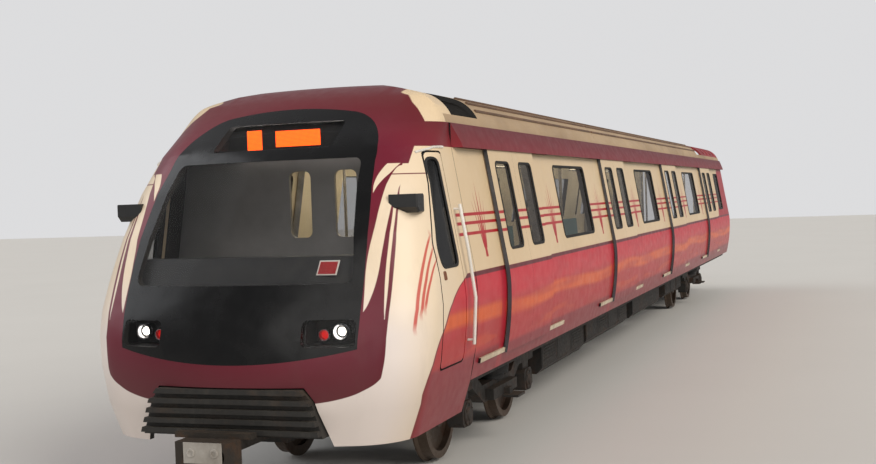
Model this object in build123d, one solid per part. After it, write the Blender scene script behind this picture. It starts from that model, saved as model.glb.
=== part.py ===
from build123d import *
import math
import os

# Metro car: the leading car of a train, with a driver's cab at +X, four double sliding doors
# a side, two motor bogies and a gangway at its rear.
# Millimetres. +X is forward, +Y is the car's left, +Z is up.
# The origin is on the car's centre line, midway between the coupler faces,
# on the plane that the wheel flanges' tips touch.

# Heights
FLANGE_HEIGHT = 28
RAIL_Z = FLANGE_HEIGHT
FLOOR_Z = RAIL_Z + 1100
FLOOR_THICKNESS = 90
CAB_FLOOR_Z = FLOOR_Z - 60
SKIRT_Z = RAIL_Z + 900
GUTTER_Z = RAIL_Z + 3170
LEDGE_Z = RAIL_Z + 3250
CEILING_Z = RAIL_Z + 3110

# Lengths along the car
REAR_X = -11275
CAB_X = 9475
COUPLER_FACE_X = 11625
BOGIE_X = (7480, -7520)

# The body's cross-section: a long low arc, a tighter waist arc and a side that leans in
WAIST_Y = 1509
WAIST_Z = RAIL_Z + 1862
LEAN = math.radians(9.4)
WAIST_R = 1300
LOW_R = 2900
CANT_Y = 1310
GUTTER_STEP = 10
SHOULDER_R = 400
SHOULDER_Z = RAIL_Z + 3083
CROWN_R = 3500
LOW_ROOF_RISE = 130
LOW_ROOF_Y = 1185
WALL = 80
ROOF_WALL = 70
FAIRING_WALL = 45
CAB_WALL = 60

# Gaps
SEAT = 0.3
PARTITION_WALL = 40

# Side doors: two leaves that hang outside the wall
DOOR_X = (7770, 2610, -2550, -7710)
DOOR_CLEAR = 1450
DOOR_HEAD_Z = RAIL_Z + 2925
LEAF_WIDTH = 814
LEAF_THICKNESS = 38
LEAF_GAP = 12
LEAF_LOW_Z = RAIL_Z + 1028
LEAF_HIGH_Z = RAIL_Z + 2962
LEAF_TRAVEL = 730
LEAF_WINDOW = (450, 815)
LEAF_WINDOW_Z = RAIL_Z + 2418
PANE_THICKNESS = 8
LEAF_PANE_INSET = 6
LEAF_WINDOW_CORNER = 60
TRACK_CLEARANCE = 10
TRACK_LIP = 14
COVER_WALL = 8
COVER_BEND_RISE = 40
COVER_TOP_OUT = 12
COVER_TOP_DROP = 5
COVER_NOSE = 100
COVER_X = (-11250, 9460)
GUIDE_HEIGHT = 44
GUIDE_DEPTH = 24
GUIDE_TOP_Z = RAIL_Z + 1076
GUIDE_CLEARANCE = 5
HANGER_X = 290
HANGER_LENGTH = 90
HANGER_MARGIN = 5
PAD_MARGIN = 2

# Saloon windows: centre, width
WINDOW_ROWS = ((5190, 1560), (30, 1560), (-5130, 1560), (-9830, 760))
WINDOW_HEIGHT = 800
WINDOW_Z = RAIL_Z + 2415
WINDOW_CORNER_R = 70

# Wheels and bogies
BACK_TO_BACK = 1360
TREAD_WIDTH = 135
FLANGE_WIDTH = 40
WHEEL_R = 430
WHEELBASE = 2200
AXLE_R = 80
JOURNAL_R = 62
JOURNAL_SHOULDER_R = 70
JOURNAL_HALF = 70
JOURNAL_END = 6
HUB_R = 130
RIM_R = 358
HUB_OUT = 40
HUB_IN = 5
WEB_Y = (45, 70)
WEB_DISH = 15
FLANGE_TIP = 16
TREAD_CONE = 4
JOURNAL_Y = 1000
AXLE_Z = RAIL_Z + WHEEL_R
BOGIE_HALF = WHEELBASE / 2

os.makedirs("parts", exist_ok=True)


def save(name, *solids):
    """Writes one node: a single solid, or like solids that do not touch."""
    kept = []
    for item in solids:
        kept.extend(item.solids())
    shape = kept[0] if len(kept) == 1 else Compound(children=kept)
    export_step(shape, f"parts/{name}.step")


def block(x0, x1, y0, y1, z0, z1):
    """A box from its corner values."""
    return Pos((x0 + x1) / 2, (y0 + y1) / 2, (z0 + z1) / 2) * Box(x1 - x0, y1 - y0, z1 - z0)


def mirror_y(shape):
    return mirror(shape, about=Plane.XZ)


# A cylinder or cone that starts at its foot
ON_FOOT = (Align.CENTER, Align.CENTER, Align.MIN)


# The side of the cross-section. An inset is measured square to the outer skin, outward if negative.
WAIST_CENTRE_Y = WAIST_Y - WAIST_R * math.cos(LEAN)
WAIST_CENTRE_Z = WAIST_Z - WAIST_R * math.sin(LEAN)
LOW_CENTRE_Y = WAIST_CENTRE_Y + WAIST_R - LOW_R
CROWN_CENTRE_Z = SHOULDER_Z - math.sqrt((CROWN_R - SHOULDER_R) ** 2 - (CANT_Y - SHOULDER_R) ** 2)


def side_breaks(inset):
    """Heights where the low arc, the waist arc, the leaning side and the upright cant rail meet."""
    arc_top = WAIST_CENTRE_Z + (WAIST_R - inset) * math.sin(LEAN)
    reach = WAIST_Y - inset / math.cos(LEAN) - (CANT_Y - inset)
    return WAIST_CENTRE_Z, arc_top, WAIST_Z + reach / math.tan(LEAN)


def side_y(z, inset=0.0):
    """Half width of the section at a height."""
    low_top, arc_top, lean_top = side_breaks(inset)
    if z <= low_top:
        return LOW_CENTRE_Y + math.sqrt((LOW_R - inset) ** 2 - (z - low_top) ** 2)
    if z <= arc_top:
        return WAIST_CENTRE_Y + math.sqrt((WAIST_R - inset) ** 2 - (z - low_top) ** 2)
    if z <= lean_top:
        return WAIST_Y - inset / math.cos(LEAN) - (z - WAIST_Z) * math.tan(LEAN)
    return CANT_Y - inset


def side_edges(inset, z0, z1, side=1):
    """Edges of one side, from z0 up to z1, in the YZ plane."""
    stops = [z0] + [z for z in side_breaks(inset) if z0 + 1 < z < z1 - 1] + [z1]
    edges = []
    for low, high in zip(stops, stops[1:]):
        mid = (low + high) / 2
        ends = [(0, side * side_y(z, inset), z) for z in (low, mid, high)]
        if mid < side_breaks(inset)[1]:
            edges.append(ThreePointArc(*ends))
        else:
            edges.append(Line(ends[0], ends[2]))
    return edges


def wall_face(outer, inner, z0, z1):
    """A strip of wall between two insets, on the left side."""
    outside = side_edges(outer, z0, z1)
    inside = side_edges(inner, z0, z1)
    ends = [Line(outside[-1] @ 1, inside[-1] @ 1), Line(outside[0] @ 0, inside[0] @ 0)]
    return make_face(Wire(outside + inside + ends))


def along(face, x0, x1):
    """A face drawn in the YZ plane at x = 0, swept along the car."""
    return Pos(x0, 0, 0) * extrude(face, amount=x1 - x0, dir=(1, 0, 0))


def crown_points(inset, z0):
    """Foot, middle and end of the shoulder arc, and the crown, at an inset."""
    r = SHOULDER_R - inset
    foot_angle = math.asin((z0 - SHOULDER_Z) / r)
    join_angle = math.pi / 2 - math.asin((CANT_Y - SHOULDER_R) / (CROWN_R - SHOULDER_R))
    centre_y = CANT_Y - SHOULDER_R
    points = []
    for angle in (foot_angle, (foot_angle + join_angle) / 2, join_angle):
        points.append((0, centre_y + r * math.cos(angle), SHOULDER_Z + r * math.sin(angle)))
    points.append((0, 0, CROWN_CENTRE_Z + CROWN_R - inset))
    return points


def flip(point):
    return (point[0], -point[1], point[2])


def crown_edges(inset, z0):
    """The roof's outline from the right-hand foot over the crown to the left-hand one."""
    foot, mid, join, top = crown_points(inset, z0)
    return [
        ThreePointArc(flip(foot), flip(mid), flip(join)),
        ThreePointArc(flip(join), top, join),
        ThreePointArc(join, mid, foot),
    ], foot


def crown_prism_face(inset):
    """Everything under the roof's outline, wide below the gutter."""
    wide = WAIST_Y + 300
    gutter = GUTTER_Z - inset
    arcs, foot = crown_edges(inset + GUTTER_STEP if inset == 0 else inset, gutter)
    low = [flip(foot), (0, -wide, gutter), (0, -wide, 0), (0, wide, 0), (0, wide, gutter), foot]
    return make_face(Wire(arcs + [Line(a, b) for a, b in zip(low, low[1:])]))


# The nose: horizontal sections, each with a long front arc and two corner arcs
# Columns: height above the rail, front of the section on the centre line
NOSE_ROWS = (
    (600, 11155), (900, 11225), (1200, 11240), (1450, 11222), (1650, 11165), (1862, 11078),
    (2060, 10995), (2250, 10905), (2630, 10665), (2961, 10370), (3083, 10205), (3170, 10075),
    (3300, 9900), (3420, 9730), (3520, 9485), (3580, 9180), (3630, 8700),
)
NOSE_FRONT_R = 3400
NOSE_CORNER_R = 500
NOSE_BACK_X = 7700
DOME_X = 9250
SKIRT_FRONT_Z = RAIL_Z + 620

# Limits of the cutting blocks, outside the whole car
BEYOND_X = 12000
BEYOND_Y = 1800
BEYOND_Z = 3800


def nose_slope(i):
    low, high = max(i - 1, 0), min(i + 1, len(NOSE_ROWS) - 1)
    return (NOSE_ROWS[high][1] - NOSE_ROWS[low][1]) / (NOSE_ROWS[high][0] - NOSE_ROWS[low][0])


def nose_section(z, front, inset):
    """One horizontal section of the nose."""
    half = side_y(z, inset)
    corner, arc = NOSE_CORNER_R - inset, NOSE_FRONT_R - inset
    centre = front - arc
    reach = math.sqrt((arc - corner) ** 2 - (half - corner) ** 2)
    angle = math.atan2(half - corner, reach)
    turn = (angle + math.pi / 2) / 2
    start = (centre + reach, half, z)
    middle = (centre + reach + corner * math.cos(turn), half - corner + corner * math.sin(turn), z)
    join = (centre + arc * math.cos(angle), arc * math.sin(angle), z)
    back = (NOSE_BACK_X, half, z)
    return make_face(Wire([
        Line(back, start), ThreePointArc(start, middle, join),
        ThreePointArc(join, (front, 0, z), flip(join)),
        ThreePointArc(flip(join), flip(middle), flip(start)),
        Line(flip(start), flip(back)), Line(flip(back), back),
    ]))


def nose_solid(inset):
    """The nose and cab as a solid, at an inset from the outer skin."""
    sections = []
    for i, (height, front) in enumerate(NOSE_ROWS):
        slope = nose_slope(i)
        norm = math.sqrt(1 + slope ** 2)
        z = RAIL_Z + height + inset * slope / norm
        sections.append(nose_section(z, front - inset / norm, inset))
    body = loft(sections, ruled=True)
    roof = along(crown_prism_face(inset), NOSE_BACK_X - 10, COUPLER_FACE_X)
    return body & roof


nose_outer = nose_solid(0)
nose_inner = nose_solid(CAB_WALL)
nose_lining = nose_solid(CAB_WALL + SEAT)

# The cab module reaches back to CAB_X, and its dome further back above the roof's ledge
cab_zone = block(CAB_X, BEYOND_X, -BEYOND_Y, BEYOND_Y, SKIRT_FRONT_Z, BEYOND_Z)
cab_zone = cab_zone + block(DOME_X, CAB_X, -BEYOND_Y, BEYOND_Y, LEDGE_Z, BEYOND_Z)
cab_shell = (nose_outer - nose_inner) & cab_zone

# The black front mask, the windscreen and the lamp covers, drawn from the front
MASK_LOW_Z = RAIL_Z + 1375
MASK_DIP_Z = RAIL_Z + 1262
MASK_LOW_Y = 1050
MASK_SIDE = (1058, RAIL_Z + 1950)
MASK_TOP = (962, RAIL_Z + 2838)
MASK_SHOULDER = (815, RAIL_Z + 3175)
MASK_CROWN_Y = 560
MASK_CROWN_Z = RAIL_Z + 3290
MASK_CROWN_RISE = 45
SCREEN_LOW = (985, RAIL_Z + 1872)
SCREEN_HIGH = (848, RAIL_Z + 2868)
SCREEN_CORNER = 70
SCREEN_THICKNESS = 18
LAMP_Y = (625, 1035)
LAMP_Z = (RAIL_Z + 1392, RAIL_Z + 1602)
SIGN_HALF = 560
SIGN_Z = (RAIL_Z + 2965, RAIL_Z + 3205)
FRONT_X0 = 9480


def front_prism(face, x0=FRONT_X0, x1=BEYOND_X):
    """A face drawn in the YZ plane, swept through the nose."""
    return along(face, x0, x1)


def mask_face():
    p = lambda y, z: (0, y, z)
    y3, z3 = MASK_SHOULDER
    return make_face(Wire([
        ThreePointArc(p(-MASK_LOW_Y, MASK_LOW_Z), p(0, MASK_DIP_Z), p(MASK_LOW_Y, MASK_LOW_Z)),
        ThreePointArc(p(MASK_LOW_Y, MASK_LOW_Z), p(*MASK_SIDE), p(*MASK_TOP)),
        ThreePointArc(p(*MASK_TOP), p(y3, z3), p(MASK_CROWN_Y, MASK_CROWN_Z)),
        ThreePointArc(
            p(MASK_CROWN_Y, MASK_CROWN_Z), p(0, MASK_CROWN_Z + MASK_CROWN_RISE), p(-MASK_CROWN_Y, MASK_CROWN_Z)
        ),
        ThreePointArc(p(-MASK_CROWN_Y, MASK_CROWN_Z), p(-y3, z3), p(-MASK_TOP[0], MASK_TOP[1])),
        ThreePointArc(
            p(-MASK_TOP[0], MASK_TOP[1]), p(-MASK_SIDE[0], MASK_SIDE[1]), p(-MASK_LOW_Y, MASK_LOW_Z)
        ),
    ]))


def rounded(points, radius, grow=0.0):
    """A rounded polygon in the YZ plane, grown or shrunk evenly."""
    face = make_face(Polyline([(0, y, z) for y, z in points], close=True))
    face = fillet(face.vertices(), radius)
    return offset(face, amount=grow) if grow else face


def screen_face(grow=0.0):
    (y0, z0), (y1, z1) = SCREEN_LOW, SCREEN_HIGH
    return rounded([(-y0, z0), (y0, z0), (y1, z1), (-y1, z1)], SCREEN_CORNER, grow)


def rectangle_face(y0, y1, z0, z1, radius, grow=0.0):
    return rounded([(y0, z0), (y1, z0), (y1, z1), (y0, z1)], radius, grow)


mask_cut = front_prism(mask_face())
mask = cab_shell & front_prism(offset(mask_face(), amount=-SEAT))
cab_shell = cab_shell - mask_cut

glass_skin = nose_outer - nose_solid(SCREEN_THICKNESS)
windscreen = glass_skin & front_prism(screen_face(-SEAT))
mask = mask - front_prism(screen_face())

LAMP_CORNER = 50
lamp_faces = {
    side: rectangle_face(*sorted((side * LAMP_Y[0], side * LAMP_Y[1])), *LAMP_Z, LAMP_CORNER) for side in (1, -1)
}
LAMP_COVER_THICKNESS = 8
cover_skin = nose_outer - nose_solid(LAMP_COVER_THICKNESS)
lamp_covers = []
lamp_units = []
LAMP_BACK_X = 10850
LAMP_BACK_WALL = 40
LAMP_MARGIN = 25
LAMP_LIP = 10
BARREL_LENGTH = 60
# Across the car, height, radius
WHITE_LAMP = (883, RAIL_Z + 1500, 62)
RED_LAMP = (738, RAIL_Z + 1474, 46)
for side, face in lamp_faces.items():
    opening = front_prism(face)
    mask = mask - opening
    lamp_covers.append(cover_skin & front_prism(offset(face, amount=-SEAT)))
    box = nose_lining & front_prism(offset(face, amount=LAMP_MARGIN), LAMP_BACK_X)
    pocket_x = LAMP_BACK_X + LAMP_BACK_WALL
    unit = box - front_prism(offset(face, amount=-LAMP_LIP), pocket_x)
    for y, z, radius in (WHITE_LAMP, RED_LAMP):
        unit = unit + Pos(pocket_x - 1, side * y, z) * Rot(0, 90, 0) * Cylinder(radius, BARREL_LENGTH + 1, align=ON_FOOT)
    lamp_units.append(unit)

sign_face = rectangle_face(-SIGN_HALF, SIGN_HALF, *SIGN_Z, 30)
mask = mask - front_prism(sign_face)
sign_glass = cover_skin & front_prism(offset(sign_face, amount=-SEAT))
SIGN_FACE_X = 10035
SIGN_DEPTH = 90
SIGN_MARGIN = 25
SIGN_LIP = 10
sign_box = nose_lining & front_prism(offset(sign_face, amount=SIGN_MARGIN), SIGN_FACE_X - SIGN_DEPTH)
sign_box = sign_box - front_prism(offset(sign_face, amount=-SIGN_LIP), SIGN_FACE_X)

# The cab's side doors, hinged at their rear edge, open inward
CAB_DOOR_REAR = 9790
CAB_DOOR_FRONT = 10400
CAB_DOOR_TOP_FRONT = 10065
CAB_DOOR_TOP_Z = RAIL_Z + 2910
CAB_DOOR_BEND_Z = RAIL_Z + 2150
CAB_DOOR_LOW_Z = RAIL_Z + 1110
CAB_DOOR_THICKNESS = 40
CAB_DOOR_GAP = 16
CAB_DOOR_CORNER = 50
CAB_WINDOW_CORNER = 70
CORNER_FLATS = 4
CAB_WINDOW = ((9880, 1945), (10275, 1945), (10320, 2100), (10070, 2840), (9910, 2840))
door_points = [
    (CAB_DOOR_REAR, CAB_DOOR_LOW_Z), (CAB_DOOR_FRONT, CAB_DOOR_LOW_Z), (CAB_DOOR_FRONT, CAB_DOOR_BEND_Z),
    (CAB_DOOR_TOP_FRONT, CAB_DOOR_TOP_Z), (CAB_DOOR_REAR, CAB_DOOR_TOP_Z),
]


def side_prism(points, radius, y0, y1, grow=0.0):
    """A rounded outline drawn from the side, swept across the car."""
    face = make_face(Polyline([(x, 0, z) for x, z in points], close=True))
    face = fillet(face.vertices(), radius)
    if grow:
        face = offset(face, amount=grow)
    return Pos(0, y0, 0) * extrude(face, amount=y1 - y0, dir=(0, 1, 0))


def soft_corners(points, radius, shrink=0.0):
    """The outline with each corner eased by short flats, and drawn in evenly all round."""
    count = len(points)
    inner = []
    for i, (x, z) in enumerate(points):
        (xa, za), (xb, zb) = points[i - 1], points[(i + 1) % count]
        ax, az = x - xa, z - za
        bx, bz = xb - x, zb - z
        la, lb = math.hypot(ax, az), math.hypot(bx, bz)
        na, nb = (-az / la, ax / la), (-bz / lb, bx / lb)
        spread = 1 + na[0] * nb[0] + na[1] * nb[1]
        inner.append((x + shrink * (na[0] + nb[0]) / spread, z + shrink * (na[1] + nb[1]) / spread))
    eased = []
    for i, (x, z) in enumerate(inner):
        (xa, za), (xb, zb) = inner[i - 1], inner[(i + 1) % count]
        la, lb = math.hypot(x - xa, z - za), math.hypot(xb - x, zb - z)
        start = (x - (x - xa) * radius / la, z - (z - za) * radius / la)
        end = (x + (xb - x) * radius / lb, z + (zb - z) * radius / lb)
        for step in range(CORNER_FLATS + 1):
            t = step / CORNER_FLATS
            eased.append((
                (1 - t) ** 2 * start[0] + 2 * t * (1 - t) * x + t ** 2 * end[0],
                (1 - t) ** 2 * start[1] + 2 * t * (1 - t) * z + t ** 2 * end[1],
            ))
    return eased


def flat_prism(points, y0, y1):
    """An outline of straight lines drawn from the side, swept across the car."""
    face = make_face(Polyline([(x, 0, z) for x, z in points], close=True))
    return Pos(0, y0, 0) * extrude(face, amount=y1 - y0, dir=(0, 1, 0))


window_points = [(x, RAIL_Z + z) for x, z in CAB_WINDOW]
door_skin = nose_outer - nose_solid(CAB_DOOR_THICKNESS)
pane_skin = nose_solid(PANE_THICKNESS) - nose_solid(2 * PANE_THICKNESS)
door_hole = soft_corners(door_points, CAB_DOOR_CORNER)
door_edge = soft_corners(door_points, CAB_DOOR_CORNER, CAB_DOOR_GAP)
window_hole = soft_corners(window_points, CAB_WINDOW_CORNER)
window_edge = soft_corners(window_points, CAB_WINDOW_CORNER, SEAT)
side_reach = (900, BEYOND_Y)
door_cut = flat_prism(door_hole, *side_reach)
cab_shell = cab_shell - door_cut - mirror_y(door_cut)
cab_door_left = (door_skin & flat_prism(door_edge, *side_reach)) - flat_prism(window_hole, *side_reach)
cab_pane_left = pane_skin & flat_prism(window_edge, *side_reach)

# The hinge line runs inside the door's inner face, through a pin at its foot and one at its head
HINGE_X = CAB_DOOR_REAR + CAB_DOOR_GAP + 2
HINGE_PIN_R = 8
HINGE_PIN_DEPTH = 28
HINGE_CLEARANCE = 0.3
hinge_low_z = CAB_DOOR_LOW_Z + CAB_DOOR_GAP
hinge_high_z = CAB_DOOR_TOP_Z - CAB_DOOR_GAP
hinge_low = Vector(HINGE_X, side_y(hinge_low_z, CAB_DOOR_THICKNESS), hinge_low_z)
hinge_high = Vector(HINGE_X, side_y(hinge_high_z, CAB_DOOR_THICKNESS), hinge_high_z)
hinge_way = (hinge_high - hinge_low).normalized()
for end, outward in ((hinge_low, -hinge_way), (hinge_high, hinge_way)):
    seat_plane = Plane(origin=end - outward * 2 * HINGE_PIN_DEPTH, z_dir=outward)
    pin = seat_plane * Cylinder(HINGE_PIN_R, 3 * HINGE_PIN_DEPTH, align=ON_FOOT)
    bore = seat_plane * Cylinder(HINGE_PIN_R + HINGE_CLEARANCE, 3 * HINGE_PIN_DEPTH + 1, align=ON_FOOT)
    cab_door_left = cab_door_left + pin
    cab_shell = cab_shell - bore - mirror_y(bore)

# The skirt is open below for the anti-climber and the coupler
ANTI_TOP_Y = 630
ANTI_SHOULDER_Y = 705
ANTI_LOW_Y = 790
ANTI_SHOULDER_DROP = 95
ANTI_TOP_Z = RAIL_Z + 1075
ANTI_LOW_Z = RAIL_Z + 700
ANTI_FRONT_X = 11245
ANTI_PLATE_X = 11115
ANTI_BACK_X = 10700
ANTI_GAP = 12


def anti_face(grow, low_z):
    """The buffer beam's outline from the front: cut top corners and sides that spread downwards."""
    slope = (ANTI_LOW_Y - ANTI_SHOULDER_Y) / (ANTI_TOP_Z - ANTI_SHOULDER_DROP - ANTI_LOW_Z)
    shoulder_z = ANTI_TOP_Z - ANTI_SHOULDER_DROP
    half = [
        (ANTI_TOP_Y + grow, ANTI_TOP_Z + grow), (ANTI_SHOULDER_Y + grow, shoulder_z),
        (ANTI_SHOULDER_Y + grow + slope * (shoulder_z - low_z), low_z),
    ]
    points = half + [(-y, z) for y, z in reversed(half)]
    return make_face(Polyline([(0, y, z) for y, z in points], close=True))


cab_shell = cab_shell - along(anti_face(ANTI_GAP, 0), ANTI_BACK_X - 200, BEYOND_X)

save("cab_shell", cab_shell)
save("front_mask", mask)
save("windscreen", windscreen)
save("front_lenses", *lamp_covers, sign_glass)
save("lamp_units", *lamp_units)
save("sign_box", sign_box)
save("cab_door_left", cab_door_left, cab_pane_left)
save("cab_door_right", mirror_y(cab_door_left), mirror_y(cab_pane_left))

# Side walls, with doorways and windows cut
CUT_LOW_Y, CUT_HIGH_Y = 1100, 1700


def window_points_at(x, width, height, z):
    return [
        (x - width / 2, z - height / 2), (x + width / 2, z - height / 2),
        (x + width / 2, z + height / 2), (x - width / 2, z + height / 2),
    ]


side_wall = along(wall_face(0, WALL, SKIRT_Z, GUTTER_Z), REAR_X, CAB_X)
window_panes = []
PANE_INSET = 10
PANE_DEPTH = 24
pane_strip = wall_face(PANE_INSET, PANE_INSET + PANE_DEPTH, WINDOW_Z - WINDOW_HEIGHT, WINDOW_Z + WINDOW_HEIGHT / 2 + 50)
for x in DOOR_X:
    doorway = window_points_at(x, DOOR_CLEAR, DOOR_HEAD_Z - FLOOR_Z, (DOOR_HEAD_Z + FLOOR_Z) / 2)
    side_wall = side_wall - side_prism(doorway, 60, CUT_LOW_Y, CUT_HIGH_Y)
for x, width in WINDOW_ROWS:
    points = window_points_at(x, width, WINDOW_HEIGHT, WINDOW_Z)
    side_wall = side_wall - side_prism(points, WINDOW_CORNER_R, CUT_LOW_Y, CUT_HIGH_Y)
    strip = along(pane_strip, x - width, x + width)
    window_panes.append(strip & side_prism(points, WINDOW_CORNER_R, CUT_LOW_Y, CUT_HIGH_Y, -SEAT))
save("side_walls", side_wall, mirror_y(side_wall))
save("side_windows", *window_panes, *[mirror_y(pane) for pane in window_panes])

# Sliding leaves: each panel with its own pane
outer_face = LEAF_GAP + LEAF_THICKNESS
notch_top_z = GUIDE_TOP_Z + GUIDE_CLEARANCE
pane_margin = 20
leaf_face = wall_face(-outer_face, -LEAF_GAP, LEAF_LOW_Z, LEAF_HIGH_Z)
notch_face = wall_face(-GUIDE_DEPTH - GUIDE_CLEARANCE, -LEAF_GAP + 1, LEAF_LOW_Z - 1, notch_top_z)
leaf_pane_face = wall_face(
    LEAF_PANE_INSET - outer_face, LEAF_PANE_INSET + PANE_THICKNESS - outer_face,
    LEAF_WINDOW_Z - LEAF_WINDOW[1] / 2 - pane_margin, LEAF_WINDOW_Z + LEAF_WINDOW[1] / 2 + pane_margin,
)
# Height range, then the insets of the inner and outer face: hanger above, guide pad below
LEAF_BLOCKS = (
    (LEAF_HIGH_Z - 1, LEAF_HIGH_Z + TRACK_CLEARANCE - SEAT, LEAF_GAP + HANGER_MARGIN, outer_face - HANGER_MARGIN),
    (GUIDE_TOP_Z + SEAT, notch_top_z + 1, LEAF_GAP + PAD_MARGIN, GUIDE_DEPTH - PAD_MARGIN),
)
for number, x in enumerate(DOOR_X, 1):
    for place, sign in (("front", 1), ("rear", -1)):
        edges = sorted((x + sign * 1, x + sign * LEAF_WIDTH))
        panel = along(leaf_face, *edges) - along(notch_face, edges[0] - 1, edges[1] + 1)
        points = window_points_at(sum(edges) / 2, LEAF_WINDOW[0], LEAF_WINDOW[1], LEAF_WINDOW_Z)
        panel = panel - side_prism(points, LEAF_WINDOW_CORNER, CUT_LOW_Y, CUT_HIGH_Y)
        pane = along(leaf_pane_face, *edges) & side_prism(points, LEAF_WINDOW_CORNER, CUT_LOW_Y, CUT_HIGH_Y, -SEAT)
        for hanger_x in (sum(edges) / 2 - HANGER_X, sum(edges) / 2 + HANGER_X):
            ends = (hanger_x - HANGER_LENGTH / 2, hanger_x + HANGER_LENGTH / 2)
            for z0, z1, inner, outer in LEAF_BLOCKS:
                panel = panel + block(*ends, side_y(z0, -inner), side_y(z1, -outer), z0, z1)
        save(f"door_leaf_left_{number}_{place}", panel, pane)
        save(f"door_leaf_right_{number}_{place}", mirror_y(panel), mirror_y(pane))

# Door tracks: one cover along the cant rail with a runner slot over each doorway, and a guide rail at each foot
TRACK_END = 30
TRACK_HALF = LEAF_WIDTH + LEAF_TRAVEL + TRACK_END
cover_low = LEAF_HIGH_Z - TRACK_LIP
cover_bend = cover_low + COVER_BEND_RISE
cover_top = GUTTER_Z - COVER_TOP_DROP
cover_out = outer_face + TRACK_CLEARANCE + COVER_WALL
lean_top = side_breaks(-SEAT)[2]
cover_points = [
    (side_y(cover_low, -SEAT), cover_low), (side_y(cover_low, -cover_out), cover_low),
    (side_y(cover_bend, -cover_out), cover_bend), (CANT_Y + COVER_TOP_OUT, cover_top),
    (CANT_Y + SEAT, cover_top), (CANT_Y + SEAT, lean_top),
]
cover_face = make_face(Polyline([(0, y, z) for y, z in cover_points], close=True))
slot_face = wall_face(-outer_face - TRACK_CLEARANCE, -SEAT - 1, cover_low - 1, LEAF_HIGH_Z + TRACK_CLEARANCE)
guide_face = wall_face(-GUIDE_DEPTH, -SEAT, GUIDE_TOP_Z - GUIDE_HEIGHT, GUIDE_TOP_Z)
cover = along(cover_face, *COVER_X)
nose_wedge = make_face(Polyline([
    (COVER_X[1] - COVER_NOSE, side_y(cover_low, -cover_out) + 1, 0), (COVER_X[1] + 1, CANT_Y + COVER_TOP_OUT, 0),
    (COVER_X[1] + 1, BEYOND_Y, 0), (COVER_X[1] - COVER_NOSE, BEYOND_Y, 0),
], close=True))
cover = cover - extrude(nose_wedge, amount=BEYOND_Z, dir=(0, 0, 1))
guides = []
for x in DOOR_X:
    cover = cover - along(slot_face, x - TRACK_HALF, x + TRACK_HALF)
    guides.append(along(guide_face, x - TRACK_HALF, x + TRACK_HALF))
tracks = [cover] + guides
save("door_tracks", *tracks, *[mirror_y(track) for track in tracks])

# Roof: a low arched skin with a ledge, which the fairings stand on
ledge_foot = crown_points(GUTTER_STEP, GUTTER_Z)[0]
ledge_edge = crown_points(GUTTER_STEP, LEDGE_Z)[0]
shoulder_mid_angle = math.asin(((GUTTER_Z + LEDGE_Z) / 2 - SHOULDER_Z) / (SHOULDER_R - GUTTER_STEP))
ledge_mid = (
    0, CANT_Y - SHOULDER_R + (SHOULDER_R - GUTTER_STEP) * math.cos(shoulder_mid_angle), (GUTTER_Z + LEDGE_Z) / 2
)
low_foot = (0, LOW_ROOF_Y, LEDGE_Z)
low_top = (0, 0, LEDGE_Z + LOW_ROOF_RISE)
lining_foot = (0, CANT_Y - WALL, GUTTER_Z)
lining_top = (0, 0, LEDGE_Z + LOW_ROOF_RISE - ROOF_WALL)
roof_face = make_face(Wire([
    ThreePointArc(ledge_foot, ledge_mid, ledge_edge), Line(ledge_edge, low_foot),
    ThreePointArc(low_foot, low_top, flip(low_foot)), Line(flip(low_foot), flip(ledge_edge)),
    ThreePointArc(flip(ledge_edge), flip(ledge_mid), flip(ledge_foot)), Line(flip(ledge_foot), flip(lining_foot)),
    ThreePointArc(flip(lining_foot), lining_top, lining_foot), Line(lining_foot, ledge_foot),
]))
save("roof", along(roof_face, REAR_X, CAB_X))

# Roof fairings over the saloon, with two openings for the air-conditioning units
arcs, outer_foot = crown_edges(GUTTER_STEP, LEDGE_Z)
inner_arcs, inner_foot = crown_edges(GUTTER_STEP + FAIRING_WALL, LEDGE_Z)
fairing_face = make_face(Wire(
    arcs + inner_arcs + [Line(outer_foot, inner_foot), Line(flip(outer_foot), flip(inner_foot))]
))
FAIRING_X = ((8475, 3230), (3224, -2080), (-2086, -7400))
AC_X = (5600, -4700)
AC_LENGTH = 3000
AC_HALF = 780
AC_TOP_Z = RAIL_Z + 3505
AC_MARGIN = 30
AC_SILL = 60
fairings = []
for x1, x0 in FAIRING_X:
    piece = along(fairing_face, x0, x1)
    for x in AC_X:
        if x0 < x < x1:
            half_length = AC_LENGTH / 2 + AC_MARGIN
            half_width = AC_HALF + AC_MARGIN
            piece = piece - block(x - half_length, x + half_length, -half_width, half_width, LEDGE_Z + AC_SILL, BEYOND_Z)
    fairings.append(piece)
save("roof_fairings", *fairings)

REAR_COWL_X = (-11255, -8250)
SLOT_COUNT = 4
SLOT_WIDTH = 180
SLOT_PITCH = 620
SLOT_START = 500
SLOT_SILL = 40
cowl = along(fairing_face, *REAR_COWL_X)
for i in range(SLOT_COUNT):
    slot_x = REAR_COWL_X[1] - SLOT_START - i * SLOT_PITCH
    cowl = cowl - block(slot_x - SLOT_WIDTH, slot_x, -BEYOND_Y, BEYOND_Y, LEDGE_Z + SLOT_SILL, BEYOND_Z)
save("rear_roof_cowl", cowl)

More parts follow.
